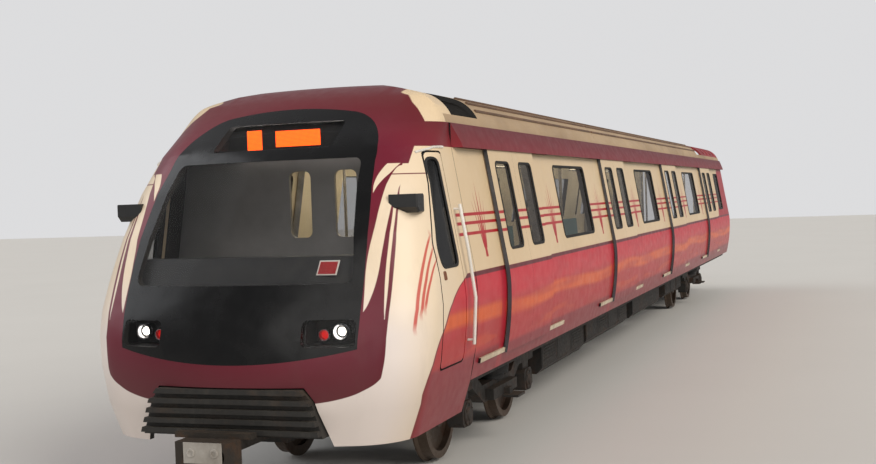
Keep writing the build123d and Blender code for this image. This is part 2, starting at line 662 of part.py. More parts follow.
# Air-conditioning units stand on the low roof and show through the fairings
ac_units = []
AC_EDGE = 25
AC_FAN_R = 300
AC_FAN_DEPTH = 45
AC_FAN_PITCH = 900
AC_HUB_R = 70
AC_HUB_HEIGHT = 30
low_roof_r = (LOW_ROOF_Y ** 2 + LOW_ROOF_RISE ** 2) / (2 * LOW_ROOF_RISE)
roof_drum = Pos(0, 0, LEDGE_Z + LOW_ROOF_RISE - low_roof_r) * Rot(0, 90, 0) * Cylinder(low_roof_r + SEAT, 2 * BEYOND_X)
for x in AC_X:
    unit = block(x - AC_LENGTH / 2, x + AC_LENGTH / 2, -AC_HALF, AC_HALF, LEDGE_Z + 20, AC_TOP_Z)
    unit = chamfer(unit.edges().group_by(Axis.Z)[-1], AC_EDGE)
    for dx in (-AC_FAN_PITCH, 0, AC_FAN_PITCH):
        foot = AC_TOP_Z - AC_FAN_DEPTH
        well = Pos(x + dx, 0, foot) * Cylinder(AC_FAN_R, 2 * AC_FAN_DEPTH, align=ON_FOOT)
        hub = Pos(x + dx, 0, foot - 1) * Cylinder(AC_HUB_R, AC_HUB_HEIGHT + 1, align=ON_FOOT)
        unit = unit - well + hub
    ac_units.append(unit - roof_drum)
save("air_conditioning_units", *ac_units)

# Floor: two slabs that rest on the underframe's solebars, cross bearers and bolsters
SOLEBAR_Y = (1240, 1338)
SOLEBAR_LOW_Z = RAIL_Z + 830
SOLEBAR_X = (REAR_X + 100, 10350)
SLAB_LOW_Z = FLOOR_Z - FLOOR_THICKNESS
SLAB_MARGIN = 8
PARTITION_X = 9540
BEARER_HALF = 45
BEARER_RISE = 20
BOLSTER_HALF = 330
BOLSTER_DEPTH = 45
PIVOT_R = 75
PIVOT_LOW_Z = RAIL_Z + 560
DECK_Z = SLAB_LOW_Z - SEAT


def floor_slabs():
    """The saloon's floor up to the partition, and the cab's lower one, which follows the inside of the nose."""
    half = side_y(SLAB_LOW_Z, WALL) - SLAB_MARGIN
    saloon = block(REAR_X, PARTITION_X, -half, half, SLAB_LOW_Z, FLOOR_Z)
    cab_x = (PARTITION_X + SEAT, ANTI_PLATE_X - ANTI_GAP)
    cab = nose_solid(CAB_WALL + SLAB_MARGIN) & block(*cab_x, -BEYOND_Y, BEYOND_Y, SLAB_LOW_Z, CAB_FLOOR_Z)
    return saloon, cab


save("floor", *floor_slabs())

BEARER_X = (-11120, -10565, -9350, -5650, -3400, -2300, -1150, 1150, 3400, 5650, 9350, 10250)
underframe = None
inner = SOLEBAR_Y[0] + 1
for side in (1, -1):
    y0, y1 = sorted((side * SOLEBAR_Y[0], side * SOLEBAR_Y[1]))
    solebar = block(*SOLEBAR_X, y0, y1, SOLEBAR_LOW_Z, DECK_Z)
    underframe = solebar if underframe is None else underframe + solebar
for x in BEARER_X:
    underframe = underframe + block(
        x - BEARER_HALF, x + BEARER_HALF, -inner, inner, SOLEBAR_LOW_Z + BEARER_RISE, DECK_Z
    )
pad_low = SLAB_LOW_Z - BOLSTER_DEPTH
for x in BOGIE_X:
    pad = block(x - BOLSTER_HALF, x + BOLSTER_HALF, -inner, inner, pad_low, DECK_Z)
    pivot = Pos(x, 0, PIVOT_LOW_Z) * Cylinder(PIVOT_R, pad_low - PIVOT_LOW_Z + 1, align=ON_FOOT)
    underframe = underframe + pad + pivot

# Draft pockets carry the coupler pins
COUPLER_Z = RAIL_Z + 630
COUPLER_PIN_X = (10380, -10750)
COUPLER_PIN_R = 40
COUPLER_EYE_R = 95
COUPLER_EYE_HEIGHT = 130
DRAFT_HALF = 150
DRAFT_REACH = 130
DRAFT_BACK = 70
DRAFT_PLATE = 40
DRAFT_ROOM = 10
plate_z = COUPLER_EYE_HEIGHT / 2 + DRAFT_ROOM
for x, sign in zip(COUPLER_PIN_X, (1, -1)):
    back_x = x - sign * DRAFT_HALF
    for z0, z1 in ((-plate_z - DRAFT_PLATE, -plate_z), (plate_z, plate_z + DRAFT_PLATE)):
        ends = sorted((back_x, x + sign * DRAFT_REACH))
        underframe = underframe + block(*ends, -DRAFT_HALF, DRAFT_HALF, COUPLER_Z + z0, COUPLER_Z + z1)
    foot = COUPLER_Z - plate_z - DRAFT_PLATE
    ends = sorted((back_x + sign, back_x - sign * DRAFT_BACK))
    back = block(*ends, -DRAFT_HALF, DRAFT_HALF, foot, DECK_Z)
    web = block(*sorted((back_x, x)), -DRAFT_HALF, DRAFT_HALF, COUPLER_Z + plate_z + 1, DECK_Z)
    pin = Pos(x, 0, COUPLER_Z) * Cylinder(COUPLER_PIN_R, 2 * (plate_z + 1))
    underframe = underframe + back + web + pin
save("underframe", underframe)

# Couplers swing about their pins
PIN_CLEARANCE = 1
SHANK_HALF = 55
SHANK_HEIGHT = 100
HEAD_X = 11330
HEAD_HALF = 235
HEAD_LOW = 140
HEAD_HIGH = 110
HEAD_CHAMFER = 120
PORT_Y = 110
CONE_DEPTH = 90
CONE_R = (45, 75)
SOCKET_DEPTH = 60
SOCKET_R = 62
CROSS_BAR_X = (11380, 11470)
CROSS_BAR_HALF = 330
CROSS_BAR_HEIGHT = 40


def coupler_eye(x):
    """The eye round a coupler's pin, and the bore through it."""
    eye = Pos(x, 0, COUPLER_Z) * Cylinder(COUPLER_EYE_R, COUPLER_EYE_HEIGHT)
    bore = Pos(x, 0, COUPLER_Z) * Cylinder(COUPLER_PIN_R + PIN_CLEARANCE, 2 * COUPLER_EYE_HEIGHT)
    return eye, bore


shank_z = (COUPLER_Z - SHANK_HEIGHT / 2, COUPLER_Z + SHANK_HEIGHT / 2)
eye, bore = coupler_eye(COUPLER_PIN_X[0])
shank = block(COUPLER_PIN_X[0], HEAD_X + 1, -SHANK_HALF, SHANK_HALF, *shank_z)
head = block(HEAD_X, COUPLER_FACE_X, -HEAD_HALF, HEAD_HALF, COUPLER_Z - HEAD_LOW, COUPLER_Z + HEAD_HIGH)
head = chamfer(head.edges().filter_by(Axis.Z).group_by(Axis.X)[0], HEAD_CHAMFER)
cone_foot = Pos(COUPLER_FACE_X - CONE_DEPTH, PORT_Y, COUPLER_Z)
cone = cone_foot * Rot(0, 90, 0) * Cone(*CONE_R, CONE_DEPTH + 2, align=ON_FOOT)
port_foot = Pos(COUPLER_FACE_X - SOCKET_DEPTH, -PORT_Y, COUPLER_Z)
port = port_foot * Rot(0, 90, 0) * Cylinder(SOCKET_R, SOCKET_DEPTH + 2, align=ON_FOOT)
bar_z = COUPLER_Z + HEAD_HIGH
cross_bar = block(*CROSS_BAR_X, -CROSS_BAR_HALF, CROSS_BAR_HALF, bar_z - 1, bar_z + CROSS_BAR_HEIGHT)
front_coupler = shank + eye + head + cross_bar - cone - port - bore
save("front_coupler", front_coupler)

FLANGE_R = 150
FLANGE_THICKNESS = 40
FLANGE_BOLTS = 8
FLANGE_BOLT_PCD = 240
FLANGE_BOLT_R = 11
eye, bore = coupler_eye(COUPLER_PIN_X[1])
bar = block(1 - COUPLER_FACE_X, COUPLER_PIN_X[1], -SHANK_HALF, SHANK_HALF, *shank_z)
flange = Pos(-COUPLER_FACE_X, 0, COUPLER_Z) * Rot(0, 90, 0) * Cylinder(FLANGE_R, FLANGE_THICKNESS, align=ON_FOOT)
rear_coupler = bar + eye + flange - bore
for i in range(FLANGE_BOLTS):
    angle = 2 * math.pi * (i + 0.5) / FLANGE_BOLTS
    y, z = FLANGE_BOLT_PCD / 2 * math.cos(angle), COUPLER_Z + FLANGE_BOLT_PCD / 2 * math.sin(angle)
    rear_coupler = rear_coupler - Pos(-COUPLER_FACE_X, y, z) * Rot(0, 90, 0) * Cylinder(FLANGE_BOLT_R, 4 * FLANGE_THICKNESS)
save("rear_coupler", rear_coupler)

# Anti-climber: a ribbed buffer beam in the skirt's recess
RIB_COUNT = 5
RIB_PITCH = 78
RIB_HEIGHT = 40
RIB_DEPTH = 60
ARM_Y = (560, 690)
ARM_RISE = (80, 250)
beam = along(anti_face(0, ANTI_LOW_Z), ANTI_BACK_X, ANTI_FRONT_X)
beam = beam - block(ANTI_BACK_X - 1, ANTI_PLATE_X, -BEYOND_Y, BEYOND_Y, SLAB_LOW_Z - SEAT, BEYOND_Z)
for i in range(RIB_COUNT):
    rib_low = ANTI_TOP_Z - RIB_HEIGHT - i * RIB_PITCH
    groove_low = max(rib_low - RIB_PITCH + RIB_HEIGHT, ANTI_LOW_Z - 1)
    beam = beam - block(ANTI_FRONT_X - RIB_DEPTH, BEYOND_X, -BEYOND_Y, BEYOND_Y, groove_low, rib_low)
last_bearer = max(BEARER_X) + BEARER_HALF
for side in (1, -1):
    y0, y1 = sorted((side * ARM_Y[0], side * ARM_Y[1]))
    beam = beam + block(
        last_bearer + SEAT, ANTI_BACK_X + 1, y0, y1, ANTI_LOW_Z + ARM_RISE[0], ANTI_LOW_Z + ARM_RISE[1]
    )
save("anti_climber", beam)

# The rear end wall and the gangway
GANGWAY_HALF = 650
GANGWAY_TOP_Z = FLOOR_Z + 1950
END_WALL = 80


def end_face(inset, low_z, high_z):
    """The whole section between the walls, up to a height."""
    left = side_edges(inset, low_z, high_z)
    right = side_edges(inset, low_z, high_z, -1)
    return make_face(Wire(left + right + [
        Line(left[0] @ 0, right[0] @ 0), Line(left[-1] @ 1, right[-1] @ 1)
    ]))


end_wall = along(end_face(WALL + SEAT, FLOOR_Z + SEAT, GUTTER_Z), REAR_X, REAR_X + END_WALL)
gangway_hole = [
    (-GANGWAY_HALF, FLOOR_Z - 1), (GANGWAY_HALF, FLOOR_Z - 1), (GANGWAY_HALF, GANGWAY_TOP_Z), (-GANGWAY_HALF, GANGWAY_TOP_Z)
]
hole_face = make_face(Polyline([(0, y, z) for y, z in gangway_hole], close=True))
end_wall = end_wall - along(hole_face, REAR_X - 1, REAR_X + END_WALL + 1)
save("end_wall", end_wall)

BELLOWS_DEPTH = 250
BELLOWS_OUT = 200
BELLOWS_FOLD = 55
BELLOWS_IN = 60
BELLOWS_IN_TOP = 40
BELLOWS_LOW = 60
BELLOWS_SOLE = 30
FOLDS = 5
FOLD_LAP = 0.5
fold_pitch = BELLOWS_DEPTH / (2 * FOLDS + 1)
bellows = None
for i in range(2 * FOLDS + 1):
    reach = BELLOWS_OUT if i % 2 == 0 else BELLOWS_OUT - BELLOWS_FOLD
    x1 = REAR_X - SEAT - i * fold_pitch
    x0 = x1 - fold_pitch - FOLD_LAP
    half = GANGWAY_HALF + reach
    room = GANGWAY_HALF + BELLOWS_IN
    ring = block(x0, x1, -half, half, FLOOR_Z - BELLOWS_LOW, GANGWAY_TOP_Z + reach)
    ring = ring - block(x0 - 1, x1 + 1, -room, room, FLOOR_Z - BELLOWS_SOLE, GANGWAY_TOP_Z + BELLOWS_IN_TOP)
    bellows = ring if bellows is None else bellows + ring
save("gangway_bellows", bellows)
GANGWAY_FRAME = 45
GANGWAY_FRAME_OUT = 210
GANGWAY_FRAME_LOW = 70
frame_x1 = REAR_X - BELLOWS_DEPTH - 2 * SEAT - FOLD_LAP
half = GANGWAY_HALF + GANGWAY_FRAME_OUT
gangway_frame = block(
    frame_x1 - GANGWAY_FRAME, frame_x1, -half, half, FLOOR_Z - GANGWAY_FRAME_LOW, GANGWAY_TOP_Z + GANGWAY_FRAME_OUT
)
gangway_frame = gangway_frame - block(
    frame_x1 - GANGWAY_FRAME - 1, frame_x1 + 1, -GANGWAY_HALF, GANGWAY_HALF, FLOOR_Z, GANGWAY_TOP_Z
)
save("gangway_frame", gangway_frame)

# Saloon: seats along the walls, grab poles, ceiling with lights
SEAT_HEIGHT = 430
SEAT_DEPTH = 430
BENCH_APRON = 130
BENCH_BACK = 420
BENCH_THICKNESS = 60
BENCH_LIP = 50
BENCH_RAKE = 110
BENCH_DIP = 15
BENCH_ROWS = ((3440, 6940), (-1720, 1780), (-6880, -3380), (-11150, -8540))


def bench_face():
    """A moulded bench: seat pan and back, against the left wall."""
    wall_y = side_y(FLOOR_Z + SEAT_HEIGHT, WALL) - 12
    pan = FLOOR_Z + SEAT_HEIGHT
    low, high = pan - BENCH_APRON, pan + BENCH_BACK
    y_low, y_high = side_y(low, WALL + SEAT), side_y(high, WALL + SEAT)
    points = [
        (y_low, low), (y_low - BENCH_THICKNESS, low), (y_low - BENCH_THICKNESS, pan - BENCH_LIP),
        (wall_y - SEAT_DEPTH, pan - BENCH_LIP), (wall_y - SEAT_DEPTH, pan), (wall_y - BENCH_RAKE, pan - BENCH_DIP),
        (y_high - BENCH_THICKNESS, high), (y_high, high),
    ]
    return make_face(Polyline([(0, y, z) for y, z in points], close=True))


benches = [along(bench_face(), x0, x1) for x0, x1 in BENCH_ROWS]
save("seats", *benches, *[mirror_y(bench) for bench in benches])

ceiling_half = side_y(CEILING_Z, WALL) - SEAT
CEILING_THICKNESS = 25
ceiling = block(
    REAR_X + END_WALL + SEAT, PARTITION_X - PARTITION_WALL - SEAT, -ceiling_half, ceiling_half,
    CEILING_Z, CEILING_Z + CEILING_THICKNESS,
)
save("saloon_ceiling", ceiling)
LIGHT_Y = (560, 740)
LIGHT_HEIGHT = 30
LIGHT_END = 300
lights = []
for side in (1, -1):
    y0, y1 = sorted((side * LIGHT_Y[0], side * LIGHT_Y[1]))
    lights.append(block(REAR_X + LIGHT_END, CAB_X - LIGHT_END, y0, y1, CEILING_Z - LIGHT_HEIGHT, CEILING_Z - SEAT))
save("saloon_lights", *lights)

POLE_R = 17
POLE_Y = 820
POLE_GAP = 10
# The poles stand at the benches' ends and in the middle of each doorway
bench_ends = sorted({x0 - POLE_GAP for x0, x1 in BENCH_ROWS[:-1]} | {x1 + POLE_GAP for x0, x1 in BENCH_ROWS})
pole_spots = [(x, side * POLE_Y) for x in bench_ends for side in (1, -1)] + [(x, 0) for x in DOOR_X]
pole = Cylinder(POLE_R, CEILING_Z - FLOOR_Z - 2 * SEAT)
save("grab_poles", *[Pos(x, y, (FLOOR_Z + CEILING_Z) / 2) * pole for x, y in pole_spots])

# Cab: back wall, ceiling, desk and seat
PARTITION_TOP_Z = RAIL_Z + 3150
PARTITION_WINDOWS = ((-225, -10), (225, 445))
PARTITION_WINDOW_Z = (RAIL_Z + 2190, RAIL_Z + 2795)
PARTITION_WINDOW_CORNER = 60
partition_x = (PARTITION_X - PARTITION_WALL, PARTITION_X)
partition = nose_lining & block(*partition_x, -BEYOND_Y, BEYOND_Y, FLOOR_Z + SEAT, PARTITION_TOP_Z)
for y0, y1 in PARTITION_WINDOWS:
    pane_hole = rectangle_face(y0, y1, *PARTITION_WINDOW_Z, PARTITION_WINDOW_CORNER)
    partition = partition - front_prism(pane_hole, partition_x[0] - 1, partition_x[1] + 1)
save("cab_partition", partition)

DESK_HALF = 1180
DESK_X = (10420, 10990)
DESK_HOOD_X = (10620, 10800)
DESK_EDGE_Z = (RAIL_Z + 1700, RAIL_Z + 1770)
DESK_HOOD_Z = RAIL_Z + 2080
DESK_FRONT_Z = (RAIL_Z + 1660, RAIL_Z + 1830)
DESK_LEG_X = (10700, 10820)
DESK_BELLY_Z = RAIL_Z + 1640
# From the side: edge, instrument slope, hood, front, and the leg down to the floor
desk_points = [
    (DESK_X[0], DESK_EDGE_Z[1]), (DESK_HOOD_X[0], DESK_HOOD_Z), (DESK_HOOD_X[1], DESK_HOOD_Z),
    (DESK_X[1], DESK_FRONT_Z[1]), (DESK_X[1], DESK_FRONT_Z[0]), (DESK_LEG_X[1], DESK_BELLY_Z),
    (DESK_LEG_X[1], CAB_FLOOR_Z + SEAT), (DESK_LEG_X[0], CAB_FLOOR_Z + SEAT), (DESK_LEG_X[0], DESK_BELLY_Z),
    (DESK_X[0], DESK_EDGE_Z[0]),
]
save("cab_desk", flat_prism(desk_points, -DESK_HALF, DESK_HALF) & nose_lining)

SEAT_X = 9980
SEAT_STEM_R = 90
PAN_HALF = 250
PAN_Z = (CAB_FLOOR_Z + 370, CAB_FLOOR_Z + 460)
BACK_HALF = 230
BACK_X = (-300, -200)
BACK_TOP_Z = CAB_FLOOR_Z + 950
PAD_EDGE = 25
pedestal = Pos(SEAT_X, 0, CAB_FLOOR_Z + SEAT) * Cylinder(SEAT_STEM_R, PAN_Z[0] - CAB_FLOOR_Z, align=ON_FOOT)
cushion = block(SEAT_X - PAN_HALF, SEAT_X + PAN_HALF, -PAN_HALF, PAN_HALF, *PAN_Z)
back_rest = block(SEAT_X + BACK_X[0], SEAT_X + BACK_X[1], -BACK_HALF, BACK_HALF, PAN_Z[0] + PAD_EDGE, BACK_TOP_Z)
save("driver_seat", pedestal + chamfer(cushion.edges(), PAD_EDGE) + chamfer(back_rest.edges(), PAD_EDGE))

# Handrails beside the cab doors
TUBE_R = 15
TUBE_OFF = 62
TUBE_Z = (RAIL_Z + 1250, RAIL_Z + 2450)
TUBE_BENDS = 3
TUBE_FOOT_R = 11
TUBE_FOOT_IN = 40
TUBE_SETBACK = 55


def handrail(x):
    """A tube that stands off the left side and follows its bulge, with a foot at each end."""
    path = []
    for i in range(TUBE_BENDS + 1):
        z = TUBE_Z[0] + (TUBE_Z[1] - TUBE_Z[0]) * i / TUBE_BENDS
        path.append((x, side_y(z) + TUBE_OFF, z))
    line = Polyline(path)
    tube = sweep(Plane(origin=line @ 0, z_dir=line % 0) * Circle(TUBE_R), path=line, transition=Transition.RIGHT)
    for z in (TUBE_Z[0] + TUBE_FOOT_IN, TUBE_Z[1] - TUBE_FOOT_IN):
        tube = tube + Pos(x, side_y(z) - TUBE_OFF / 2, z) * Rot(-90, 0, 0) * Cylinder(
            TUBE_FOOT_R, 1.5 * TUBE_OFF, align=ON_FOOT
        )
    body = along(end_face(-SEAT, TUBE_Z[0] - TUBE_FOOT_IN, TUBE_Z[1] + TUBE_FOOT_IN), x - TUBE_OFF, x + TUBE_OFF)
    return tube - body


rear_rail = handrail(CAB_DOOR_REAR - TUBE_SETBACK)
save("cab_handrails", rear_rail, mirror_y(rear_rail))

# Camera pods ahead of the cab doors: small wedges that taper downwards
POD_X = (10385, 10550)
POD_Y = (1150, 1395)
POD_Z = (RAIL_Z + 2400, RAIL_Z + 2550)
POD_TAPER = 45
POD_EDGE = 12
pod_points = [
    (POD_X[0], POD_Z[0]), (POD_X[1] - POD_TAPER, POD_Z[0]), (POD_X[1], POD_Z[0] + POD_TAPER), (POD_X[1], POD_Z[1]),
    (POD_X[0], POD_Z[1]),
]
pod = flat_prism(pod_points, *POD_Y)
pod = chamfer(pod.faces().sort_by(Axis.Y)[-1].edges(), POD_EDGE) - nose_solid(-SEAT)
save("camera_pods", pod, mirror_y(pod))


# Bogies
def wheelset(x):
    """Axle and two wheels as one turned piece: hub, dished web, rim, flange and coned tread."""
    inner = BACK_TO_BACK / 2
    outer = inner + TREAD_WIDTH
    r_flange = WHEEL_R + FLANGE_HEIGHT
    half = [
        (0, 0), (0, AXLE_R), (inner - HUB_OUT, AXLE_R), (inner, HUB_R), (inner + WEB_Y[0], RIM_R), (inner, RIM_R),
        (inner, r_flange), (inner + FLANGE_TIP, r_flange), (inner + FLANGE_WIDTH, WHEEL_R), (outer, WHEEL_R - TREAD_CONE),
        (outer, RIM_R), (inner + WEB_Y[1], RIM_R), (inner + WEB_Y[1] - WEB_DISH, HUB_R), (outer - HUB_IN, HUB_R),
        (outer - HUB_IN, JOURNAL_SHOULDER_R), (JOURNAL_Y - JOURNAL_HALF, JOURNAL_SHOULDER_R),
        (JOURNAL_Y - JOURNAL_HALF, JOURNAL_R), (JOURNAL_Y + JOURNAL_HALF, JOURNAL_R), (JOURNAL_Y + JOURNAL_HALF, 0),
    ]
    face = make_face(Polyline([(0, y, z) for y, z in half], close=True))
    turned = revolve(face, axis=Axis((0, 0, 0), (0, 1, 0)))
    whole = turned + mirror_y(turned)
    return Pos(x, 0, AXLE_Z) * whole


FRAME_Y = (935, 1065)
FRAME_TOP_Z = RAIL_Z + 760
FRAME_DEPTH = 130
FRAME_DIP = 150
FRAME_BELLY = 180
FRAME_END = 330
FRAME_FLAT = 260
FRAME_WAIST = (520, 480)
TRANSOM_X = 300
TRANSOM_R = 85
TRANSOM_Z = FRAME_TOP_Z - 240
PIVOT_CLEARANCE = 0.5
PIVOT_RING = 55
PIVOT_RING_HEIGHT = 170
LINK_HALF = 70
LINK_HEIGHT = 120
BOX_CLEARANCE = 0.5
BOX_HALF = 150
BOX_Y = (65, 95)
BOX_Z = (115, 125)
BOX_CHAMFER = 45
TOWER_HALF = 115
SPRING_Y = 990
SPRING_R = 190
SPRING_BULGE = 15
SPRING_FOOT_R = 140
SPRING_FOOT = 60
MOTOR_X = 640
MOTOR_Y = 90
MOTOR_R = 205
MOTOR_LENGTH = 620
MOTOR_RISE = 40
GEARCASE_R = 150
GEARCASE_LENGTH = 720
MOTOR_FOOT_X = 500
MOTOR_FOOT_HALF = 250
MOTOR_FOOT_Z = (AXLE_Z - 30, AXLE_Z + 120)
SHOE_BEAM_HALF = 430
SHOE_BEAM_OUT = 90
SHOE_BEAM_Z = (RAIL_Z + 450, RAIL_Z + 560)
SHOE_HALF = 130
SHOE_OUT = 260
SHOE_Z = (RAIL_Z + 430, RAIL_Z + 455)
SHOE_ARM_HALF = 60
SHOE_ARM_OUT = (60, 150)
SHOE_ARM_TOP_Z = RAIL_Z + 520


def side_frame_points():
    """Swan-necked side frame, from the side: high over the axleboxes and low between them."""
    low = FRAME_TOP_Z - FRAME_DEPTH
    dip = FRAME_TOP_Z - FRAME_DIP
    half = [
        (FRAME_WAIST[0], dip), (BOGIE_HALF - FRAME_END, FRAME_TOP_Z), (BOGIE_HALF + FRAME_END, FRAME_TOP_Z),
        (BOGIE_HALF + FRAME_END, low), (BOGIE_HALF - FRAME_FLAT, low), (FRAME_WAIST[1], dip - FRAME_BELLY),
    ]
    return half + [(-x, z) for x, z in reversed(half)]


def bogie_frame(x):
    face = make_face(Polyline([(px, 0, pz) for px, pz in side_frame_points()], close=True))
    frame = None
    for side in (1, -1):
        y0, y1 = sorted((side * FRAME_Y[0], side * FRAME_Y[1]))
        beam_side = Pos(0, y0, 0) * extrude(face, amount=y1 - y0, dir=(0, 1, 0))
        frame = beam_side if frame is None else frame + beam_side
    for dx in (-TRANSOM_X, TRANSOM_X):
        frame = frame + Pos(dx, 0, TRANSOM_Z) * Rot(90, 0, 0) * Cylinder(TRANSOM_R, 2 * FRAME_Y[0] + 2)
    ring = Pos(0, 0, TRANSOM_Z) * Cylinder(PIVOT_R + PIVOT_RING, PIVOT_RING_HEIGHT)
    link = Pos(0, 0, TRANSOM_Z) * Box(2 * TRANSOM_X, 2 * LINK_HALF, LINK_HEIGHT)
    bore = Pos(0, 0, TRANSOM_Z) * Cylinder(PIVOT_R + PIVOT_CLEARANCE, 2 * PIVOT_RING_HEIGHT)
    return Pos(x, 0, 0) * (frame + ring + link - bore)


def axleboxes(x):
    """Four axleboxes with rubber-spring towers that carry the frame."""
    boxes = []
    for dx in (-BOGIE_HALF, BOGIE_HALF):
        for side in (1, -1):
            y0, y1 = sorted((side * (JOURNAL_Y - BOX_Y[0]), side * (JOURNAL_Y + BOX_Y[1])))
            box = block(dx - BOX_HALF, dx + BOX_HALF, y0, y1, AXLE_Z - BOX_Z[0], AXLE_Z + BOX_Z[1])
            box = chamfer(box.edges().filter_by(Axis.Y), BOX_CHAMFER)
            y0, y1 = sorted((side * FRAME_Y[0], side * FRAME_Y[1]))
            tower_top = FRAME_TOP_Z - FRAME_DEPTH - SEAT
            tower = block(dx - TOWER_HALF, dx + TOWER_HALF, y0, y1, AXLE_Z + BOX_Z[1] - 1, tower_top)
            bore = Pos(dx, side * JOURNAL_Y, AXLE_Z) * Rot(90, 0, 0) * Cylinder(
                JOURNAL_R + BOX_CLEARANCE, 2 * (JOURNAL_HALF + JOURNAL_END)
            )
            boxes.append(Pos(x, 0, 0) * (box + tower - bore))
    return boxes


def air_springs(x):
    """Two air springs between the side frames and the bolster pads."""
    low = FRAME_TOP_Z - FRAME_DIP + SEAT
    high = SLAB_LOW_Z - BOLSTER_DEPTH - SEAT
    neck = low + SPRING_FOOT
    rows = [
        (0, low), (SPRING_FOOT_R, low), (SPRING_FOOT_R, neck), (SPRING_R, neck), (SPRING_R + SPRING_BULGE, (neck + high) / 2),
        (SPRING_R, high), (0, high),
    ]
    face = make_face(Polyline([(r, 0, z) for r, z in rows], close=True))
    spring = revolve(face, axis=Axis.Z)
    return [Pos(x, side * SPRING_Y, 0) * spring for side in (1, -1)]


def motors(x):
    """A traction motor and gearcase beside each axle."""
    pieces = []
    for sign in (1, -1):
        shaft = Pos(sign * MOTOR_X, sign * MOTOR_Y, AXLE_Z + MOTOR_RISE) * Rot(90, 0, 0)
        ends = sorted((sign * (TRANSOM_X + TRANSOM_R + SEAT), sign * MOTOR_FOOT_X))
        middle = sign * MOTOR_Y
        foot = block(*ends, middle - MOTOR_FOOT_HALF, middle + MOTOR_FOOT_HALF, *MOTOR_FOOT_Z)
        motor = shaft * Cylinder(MOTOR_R, MOTOR_LENGTH) + shaft * Cylinder(GEARCASE_R, GEARCASE_LENGTH)
        pieces.append(Pos(x, 0, 0) * (motor + foot))
    return pieces


def shoegear(x):
    """Collector shoes on an insulating beam, outside the frames."""
    gear = []
    for side in (1, -1):
        y0, y1 = sorted((side * (FRAME_Y[1] - 1), side * (FRAME_Y[1] + SHOE_BEAM_OUT)))
        carrier = block(-SHOE_BEAM_HALF, SHOE_BEAM_HALF, y0, y1, *SHOE_BEAM_Z)
        y0, y1 = sorted((side * (FRAME_Y[1] + SHOE_BEAM_OUT - 1), side * (FRAME_Y[1] + SHOE_OUT)))
        shoe = block(-SHOE_HALF, SHOE_HALF, y0, y1, *SHOE_Z)
        y0, y1 = sorted((side * (FRAME_Y[1] + SHOE_ARM_OUT[0]), side * (FRAME_Y[1] + SHOE_ARM_OUT[1])))
        arm = block(-SHOE_ARM_HALF, SHOE_ARM_HALF, y0, y1, SHOE_Z[1] - 1, SHOE_ARM_TOP_Z)
        gear.append(Pos(x, 0, 0) * (carrier + shoe + arm))
    return gear


for place, x in zip(("front", "rear"), BOGIE_X):
    left_shoe, right_shoe = shoegear(x)
    save(f"bogie_frame_{place}", bogie_frame(x) + left_shoe + right_shoe)
    save(f"bogie_springing_{place}", *axleboxes(x), *air_springs(x))
    save(f"motors_{place}", *motors(x))
    for end, dx in (("leading", BOGIE_HALF), ("trailing", -BOGIE_HALF)):
        save(f"wheelset_{place}_{end}", wheelset(x + dx))

# Underfloor equipment hung from the cross bearers
CASE_TOP_Z = SOLEBAR_LOW_Z + BEARER_RISE - SEAT
CASE_CHAMFER = 70
# Columns: rear end, front end, right side, left side, depth
CASE_ROWS = (
    (3450, 5700, -1080, 1080, 470),
    (300, 3300, -1080, 1080, 440),
    (-2900, -200, 150, 1080, 430),
    (-5700, -3600, -1080, 1080, 400),
)
cases = []
for x0, x1, y0, y1, depth in CASE_ROWS:
    case = block(x0, x1, y0, y1, CASE_TOP_Z - depth, CASE_TOP_Z)
    case = chamfer(case.edges().filter_by(Axis.X).group_by(Axis.Z)[0], CASE_CHAMFER)
    cases.append(case)
TANK_R = 180
TANK_Y = -820
TANK_DROP = 10
TANK_END = 60
STRAP_WIDTH = 60
# Columns: rear end, front end, the bearer that the strap hangs from
TANK_ROWS = ((-2900, -1700, -2300), (-1500, -300, -1150))
tanks = []
for x0, x1, strap_x in TANK_ROWS:
    tank = Pos((x0 + x1) / 2, TANK_Y, CASE_TOP_Z - TANK_R - TANK_DROP) * Rot(0, 90, 0) * Cylinder(TANK_R, x1 - x0)
    tank = chamfer(tank.edges().filter_by(GeomType.CIRCLE), TANK_END)
    strap = block(
        strap_x - STRAP_WIDTH / 2, strap_x + STRAP_WIDTH / 2, TANK_Y - STRAP_WIDTH, TANK_Y + STRAP_WIDTH,
        CASE_TOP_Z - STRAP_WIDTH, CASE_TOP_Z,
    )
    tanks.append(tank + strap)
save("underfloor_equipment", *cases, *tanks)
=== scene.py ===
import math

import bmesh
import bpy
from mathutils import Matrix, Vector


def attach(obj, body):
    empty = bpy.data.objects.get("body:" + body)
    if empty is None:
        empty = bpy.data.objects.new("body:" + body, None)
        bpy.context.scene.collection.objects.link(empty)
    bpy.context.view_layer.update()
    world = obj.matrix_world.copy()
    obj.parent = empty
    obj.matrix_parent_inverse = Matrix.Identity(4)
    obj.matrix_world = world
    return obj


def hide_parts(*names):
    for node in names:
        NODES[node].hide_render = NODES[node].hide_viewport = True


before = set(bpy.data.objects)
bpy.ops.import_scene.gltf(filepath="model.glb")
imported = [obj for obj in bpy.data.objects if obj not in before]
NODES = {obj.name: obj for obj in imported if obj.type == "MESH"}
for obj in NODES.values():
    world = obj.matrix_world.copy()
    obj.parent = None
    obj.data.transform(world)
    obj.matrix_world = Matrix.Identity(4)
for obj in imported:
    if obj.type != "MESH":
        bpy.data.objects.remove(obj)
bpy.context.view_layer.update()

# Heights and places repeated from the car's source, in metres
RAIL = 0.028
FLOOR = RAIL + 1.100
CAB_FLOOR = FLOOR - 0.060
CEILING = RAIL + 3.110
WAIST = RAIL + 1.850
GUTTER = RAIL + 3.170
LEDGE = RAIL + 3.250
CANT_LINE = RAIL + 2.948
CAB_X = 9.475
DOORS, DOORWAY_HALF = (7.770, 2.610, -2.550, -7.710), 0.73
